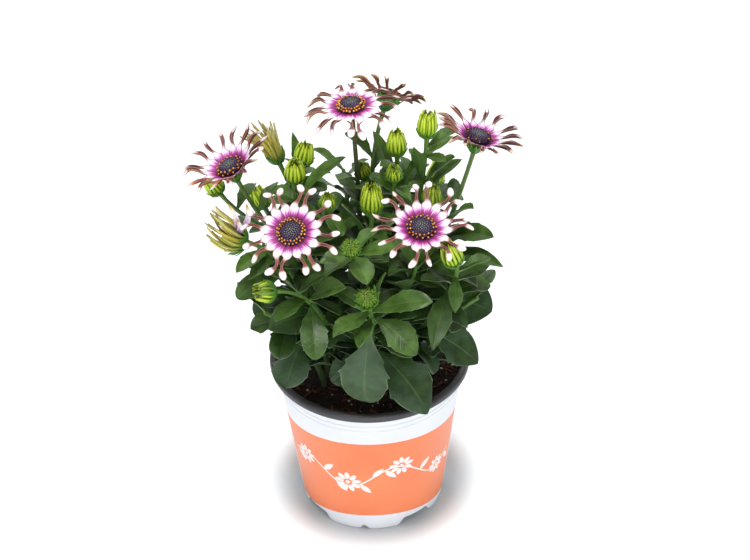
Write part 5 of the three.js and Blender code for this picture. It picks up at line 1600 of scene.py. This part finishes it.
def disc_looks():
    # The dome between the florets is dark, partly the eye's own colour and partly painted shade in the gaps
    # between florets.
    core = Graph("disc_core", roughness=0.8)
    core_look = core.done(core.ramp(core.noise(1.2), (0.3, "2a1e30"), (0.7, "42304a")))
    g = Graph("floret", roughness=0.55)
    base = g.ramp(g.tone, (0.0, "7c8278"), (0.35, "6a696e"), (0.55, "5a4a64"), (0.75, "48304e"),
                  (0.95, "300f2a"))
    tips = g.step(g.along, 0.55, 1.0)
    base = g.mix(g.times(tips, 0.3), base, g.ramp(g.tone, (0.2, "949c8e"), (0.6, "74688c"), (1.0, "54304e")))
    floret = g.done(base)
    a = Graph("anther", roughness=0.5)
    lobes = a.ramp(a.tone, (0.0, "d8780f"), (0.6, "ee9c1c"), (1.0, "f6b838"))
    anther = a.done(a.mix(a.step(a.along, 0.3, 0.62), "6a2a14", lobes))
    return core_look, floret, anther


def bud_looks():
    core = Graph("bud_core", roughness=0.7)
    core_look = core.done(core.ramp(core.noise(2), (0.3, "24380c"), (0.7, "34500f")))
    g = Graph("bud_ray", roughness=0.4)
    # Each strip is lime along its crest and darker green towards its margins: painted shade in the grooves
    # between strips.
    crest = g.step(g.edge(), 1.0, 0.42)
    groove = g.ramp(g.along, (0.1, "2f5410"), (0.5, "4f740c"), (1.0, "98ac1c"))
    ridge = g.ramp(g.along, (0.1, "5a8622"), (0.3, "96ba22"), (0.6, "bbd42a"), (1.0, "cbdc3e"))
    base = g.mix(crest, groove, ridge)
    base = g.mix(g.step(g.tone, 0.36, 0.15, 0.0, 0.85), base, g.mix(crest, "2f5c1a", "55862c"))
    base = g.bright(base, g.step(g.tone, 0.2, 0.8, 0.88, 1.1))
    # The inner faces of the strips are dark green deep in the bud and turn lime at the tips: painted shade
    # inside the bud.
    base = g.mix(g.minus(1.0, g.side), base, g.ramp(g.along, (0.6, "3c5a10"), (0.95, "8ea224")))
    fine = g.noise(0.8, 3)
    g.bump(fine, 0.25, 0.4)
    return core_look, g.done(g.bright(base, g.spread(fine, 0.88, 1.12)))


def scale_look():
    g = Graph("green_scale", roughness=0.48)
    edge = g.edge()
    base = g.ramp(g.along, (0.0, "2f5a1c"), (0.6, "3f7420"), (1.0, "568a2a"))
    base = g.mix(g.times(g.step(edge, 0.6, 1.0), 0.4), base, "86ab50")
    base = g.mix(g.times(g.step(edge, 0.22, 0.0), 0.3), base, "264818")
    fine = g.noise(0.7, 3)
    g.bump(fine, 0.3, 0.5)
    return g.done(g.bright(base, g.spread(fine, 0.85, 1.12)))


def closing_looks():
    g = Graph("closing_ray", roughness=0.5)
    edge = g.edge()
    base = g.ramp(g.along, (0.0, "66781e"), (0.3, "aaa22e"), (0.7, "ceb838"), (0.9, "dac464"),
                  (1.0, "c8b67c"))
    base = g.mix(g.step(g.tone, 0.5, 0.1, 0.0, 0.6), base, "b0c054")
    violet = g.times(g.step(g.tone, 0.7, 1.0), g.step(g.along, 0.7, 0.3))
    base = g.mix(g.times(violet, 0.5), base, "7d6248")
    # Towards its margins each strand turns pale on one side and dark olive on the other: painted highlight
    # and painted shade on the folded strand.
    margin = g.mix(g.step(g.across, -0.2, 0.2), "dfdca6", "5c5220")
    base = g.mix(g.times(g.step(edge, 0.55, 1.0), 0.6), base, margin)
    base = g.mix(g.times(g.minus(1.0, g.side), 0.7), base, "b2a674")
    fine = g.noise(0.9, 3)
    g.bump(fine, 0.3, 0.4)
    strand = g.done(g.bright(base, g.spread(fine, 0.84, 1.14)))
    h = Graph("closing_white_ray", roughness=0.5)
    pale = h.ramp(h.along, (0.0, "9a4a9a"), (0.3, "d3a9d6"), (0.55, "f3e6f0"), (0.8, "efe0c8"),
                  (0.92, "c8a83c"), (1.0, "b08e28"))
    return strand, h.done(h.bright(pale, h.spread(h.noise(1.2, 3), 0.9, 1.08)))


def soil_looks():
    looks = []
    for name, codes, rough in (
            ("peat", ("170e0a", "2b1a12", "3a241a"), 0.95),
            ("peat_grain", ("1a100b", "33201a", "4c3024"), 0.92),
            ("bark", ("3d2016", "5f3324", "80492f"), 0.8),
            ("perlite", ("b9b2a6", "d8d3c8", "efece4"), 0.85)):
        g = Graph(name, roughness=rough)
        mottle = g.noise(1.6 if name != "peat" else 3, 4, 0.65)
        base = g.ramp(mottle, (0.32, codes[0]), (0.5, codes[1]), (0.7, codes[2]))
        base = g.bright(base, g.step(g.tone, 0.0, 1.0, 0.75, 1.25))
        g.bump(g.noise(0.7, 4, 0.7), 0.6, 0.9)
        looks.append(g.done(base))
    return looks


def pot_looks():
    g = Graph("pot_shell", roughness=0.36)
    x, y, z = g.node("SeparateXYZ", {"Vector": g.place}).outputs
    radius = g.math("SQRT", g.plus(g.times(x, x), g.times(y, y)))
    aside = g.math("DIVIDE", x, g.math("MAXIMUM", radius, 0.001))
    aside = g.times(aside, aside)
    frayed = g.plus(z, g.times(g.minus(g.noise(2.2, 3), 0.5), 0.0006))
    top = g.plus(frayed, g.times(aside, 0.007))
    bottom = g.plus(frayed, g.times(aside, 0.0095))
    band = g.times(g.step(bottom, 0.0138, 0.0142), g.step(top, 0.0842, 0.0838))
    band = g.times(band, g.step(aside, 0.942, 0.936))
    mottle = g.noise(30, 3)
    white = g.ramp(mottle, (0.3, "dcdfe6"), (0.7, "e5e7ed"))
    orange = g.ramp(mottle, (0.3, "ea7745"), (0.7, "f18453"))
    base = g.mix(band, white, orange)
    scuff = g.step(g.noise(5, 6, 0.75), 0.66, 0.72)
    base = g.mix(g.times(scuff, 0.25), base, "c9c4bf")
    dust = g.times(g.step(g.noise(1.1, 2), 0.76, 0.8), g.step(z, 0.03, 0.0, 0.1, 0.6))
    base = g.mix(dust, base, "6a5446")
    ripple = g.node("Mapping", {"Vector": g.place, "Scale": (1, 1, 0.25)}).outputs["Vector"]
    g.bump(g.plus(g.noise(14, 2, place=ripple), g.times(g.noise(0.6, 2), 0.05)), 0.5, 0.4)
    shell = g.done(base, g.spread(mottle, 0.3, 0.42))
    k = Graph("pot_lining", roughness=0.4)
    fine = k.noise(1.2, 4, 0.7)
    base = k.ramp(k.noise(12, 3), (0.3, "343335"), (0.7, "454347"))
    specks = k.step(k.noise(0.9, 2), 0.74, 0.8)
    base = k.mix(k.times(specks, 0.35), base, "6a5a50")
    k.bump(fine, 0.3, 0.35)
    lining = k.done(base, k.spread(fine, 0.34, 0.52))
    i = Graph("white_ink", roughness=0.5)
    faded = i.noise(1.4, 4, 0.7)
    base = i.mix(i.step(faded, 0.56, 0.7, 0.0, 0.4), "ece6e4", "f0aa8c")
    i.bump(faded, 0.1, 0.3)
    return shell, lining, i.done(base, i.spread(faded, 0.42, 0.6))


# ---------------------------------------------------------------- floor, light and camera


FLOOR_SIZE = 30
PLANT_MIDDLE = Vector((0, 0, 0.16))
# Square lamps: name, place, size and power. All of them face the plant's middle.
LAMPS = (("key", (-0.1, -0.3, 2.0), 0.7, 23.5), ("fill", (0.05, -1.8, 0.6), 1.0, 11),
         ("back", (0.1, 1.1, 1.7), 1.2, 11))
FLOOR_LAMP = dict(angle=math.radians(12), energy=3.5, lean=math.radians(3))
SKY_COLOUR = (0.97, 0.985, 1, 1)
# How the sky's strength falls between two heights of the direction that is looked in.
SKY_FADE = {"From Min": 0.02, "From Max": 0.3, "To Min": 0.96, "To Max": 0.42}
CAMERA = dict(elevation=37.04, distance=1.3, roll=-1.51, target=(0.00472, 0, 0.1714), lens=98.8, sensor=36,
              clip_end=20)


def add_stage():
    bpy.ops.mesh.primitive_plane_add(size=FLOOR_SIZE, location=(0, 0, 0))
    floor = bpy.context.object
    floor.name = "floor"
    g = Graph("floor", roughness=0.7)
    floor.data.materials.append(g.done(g.ramp(g.noise(400, 2), (0.3, "c5c8c9"), (0.7, "c7cacb"))))
    return floor


def add_light(name, place, size, watts):
    light = bpy.data.lights.new(name, "AREA")
    light.size = size
    light.energy = watts
    lamp = bpy.data.objects.new(name, light)
    lamp.location = place
    lamp.rotation_euler = (PLANT_MIDDLE - Vector(place)).to_track_quat("-Z", "Y").to_euler()
    bpy.context.scene.collection.objects.link(lamp)


def add_floor_light(floor, pot):
    """A soft light from above that falls on the floor alone and that only the pot shades."""
    light = bpy.data.lights.new("floor_light", "SUN")
    light.angle = FLOOR_LAMP["angle"]
    light.energy = FLOOR_LAMP["energy"]
    lamp = bpy.data.objects.new("floor_light", light)
    lamp.rotation_euler = (FLOOR_LAMP["lean"], 0, 0)
    bpy.context.scene.collection.objects.link(lamp)
    lit, shading = bpy.data.collections.new("lit"), bpy.data.collections.new("shading")
    lit.objects.link(floor)
    shading.objects.link(pot)
    lamp.light_linking.receiver_collection = lit
    lamp.light_linking.blocker_collection = shading


def add_lights():
    bpy.context.scene.view_settings.view_transform = "Standard"
    world = bpy.data.worlds.new("studio")
    bpy.context.scene.world = world
    world.use_nodes = True
    # The room is dimmer overhead than at the horizon, where it meets the floor without an edge.
    tree = world.node_tree
    direction = tree.nodes.new("ShaderNodeTexCoord").outputs["Generated"]
    split = tree.nodes.new("ShaderNodeSeparateXYZ")
    tree.links.new(direction, split.inputs[0])
    fade = tree.nodes.new("ShaderNodeMapRange")
    fade.interpolation_type = "SMOOTHSTEP"
    for socket, value in SKY_FADE.items():
        fade.inputs[socket].default_value = value
    tree.links.new(split.outputs["Z"], fade.inputs["Value"])
    background = tree.nodes["Background"]
    background.inputs["Color"].default_value = SKY_COLOUR
    tree.links.new(fade.outputs["Result"], background.inputs["Strength"])
    for lamp in LAMPS:
        add_light(*lamp)


def add_camera():
    """The camera at the photograph's angle: it looks along +Y, down on the plant."""
    camera = bpy.data.cameras.new("camera")
    camera.lens = CAMERA["lens"]
    camera.sensor_width = CAMERA["sensor"]
    camera.clip_end = CAMERA["clip_end"]
    thing = bpy.data.objects.new("camera", camera)
    elevation, roll = math.radians(CAMERA["elevation"]), math.radians(CAMERA["roll"])
    back = Vector((0, -math.cos(elevation), math.sin(elevation)))
    right = Vector((1, 0, 0))
    up = back.cross(right)
    side = right * math.cos(roll) + up * math.sin(roll)
    top = up * math.cos(roll) - right * math.sin(roll)
    turn = Matrix((side, top, back)).transposed().to_4x4()
    thing.matrix_world = Matrix.Translation(Vector(CAMERA["target"]) + back * CAMERA["distance"]) @ turn
    bpy.context.scene.collection.objects.link(thing)
    bpy.context.scene.camera = thing


# ---------------------------------------------------------------- the object

for thing in list(bpy.data.objects):
    if thing.type in ("CAMERA", "LIGHT") or thing.name == "Cube":
        bpy.data.objects.remove(thing)

HEADS = plan_heads()
SHOOTS = plan_shoots(HEADS)
AROUND = surroundings_of(HEADS, SHOOTS)
grow_leaves(SHOOTS, AROUND)
grow_infill(SHOOTS, AROUND)

foliage_materials = (leaf_look(), stem_look(), scale_look())
for number, (stem_name, *_) in enumerate(STEMS):
    shape = Shape()
    for part, shoot in enumerate(s for s in SHOOTS.values() if s["owner"] == stem_name):
        fine_stem(shape, shoot, 1)
        head = HEADS.get(shoot["head"])
        if head and head["kind"] == "bloom":
            fine_cup(shape, head, 2, SEED["cup"] + number)
        first_leaf = 400 * number + 40 * part
        for seed, leaf in enumerate(shoot["grown"], SEED["leaf"] + first_leaf):
            fine_leaf(shape, leaf, 0, seed)
        for seed, leaf in enumerate(shoot["infill"], SEED["infill_leaf"] + first_leaf):
            fine_leaf(shape, leaf, 0, seed, INFILL_ROWS, INFILL_COLUMNS)
    add_piece(stem_name + "_foliage", shape, foliage_materials, "leaf", stem_name)

green_scale = foliage_materials[2]
ray_material, disc_materials = ray_look(), disc_looks()
bud_core, bud_ray = bud_looks()
strand, white_ray = closing_looks()
for index, (name, head) in enumerate(HEADS.items()):
    if head["kind"] == "bloom":
        shape = fine_rays(name, head, SEED["rays"] + index, 0)
        add_piece(name + "_petals", shape, (ray_material,), "rays", name + "_rays")
        shape = fine_disc(name, head, SEED["disc"] + index, (0, 1, 2))
        add_piece(name + "_eye", shape, disc_materials, "disc", name + "_disc")
    elif head["kind"] == "bud":
        shape = fine_bud(name, head, SEED["bud"] + index, (0, 1, 2))
        add_piece(name + "_head", shape, (bud_core, bud_ray, green_scale), "bud", name)
    else:
        shape = fine_closing(name, head, SEED["closing"] + index, (0, 1, 2, 3))
        add_piece(name + "_head", shape, (bud_core, strand, green_scale, white_ray), "closing", name)

add_piece("pot_shell", fine_pot(), pot_looks(), "pot", "pot")
add_piece("soil_surface", fine_soil(), soil_looks(), "soil", "soil")

add_floor_light(add_stage(), bpy.data.objects["pot_shell"])
add_lights()
add_camera()
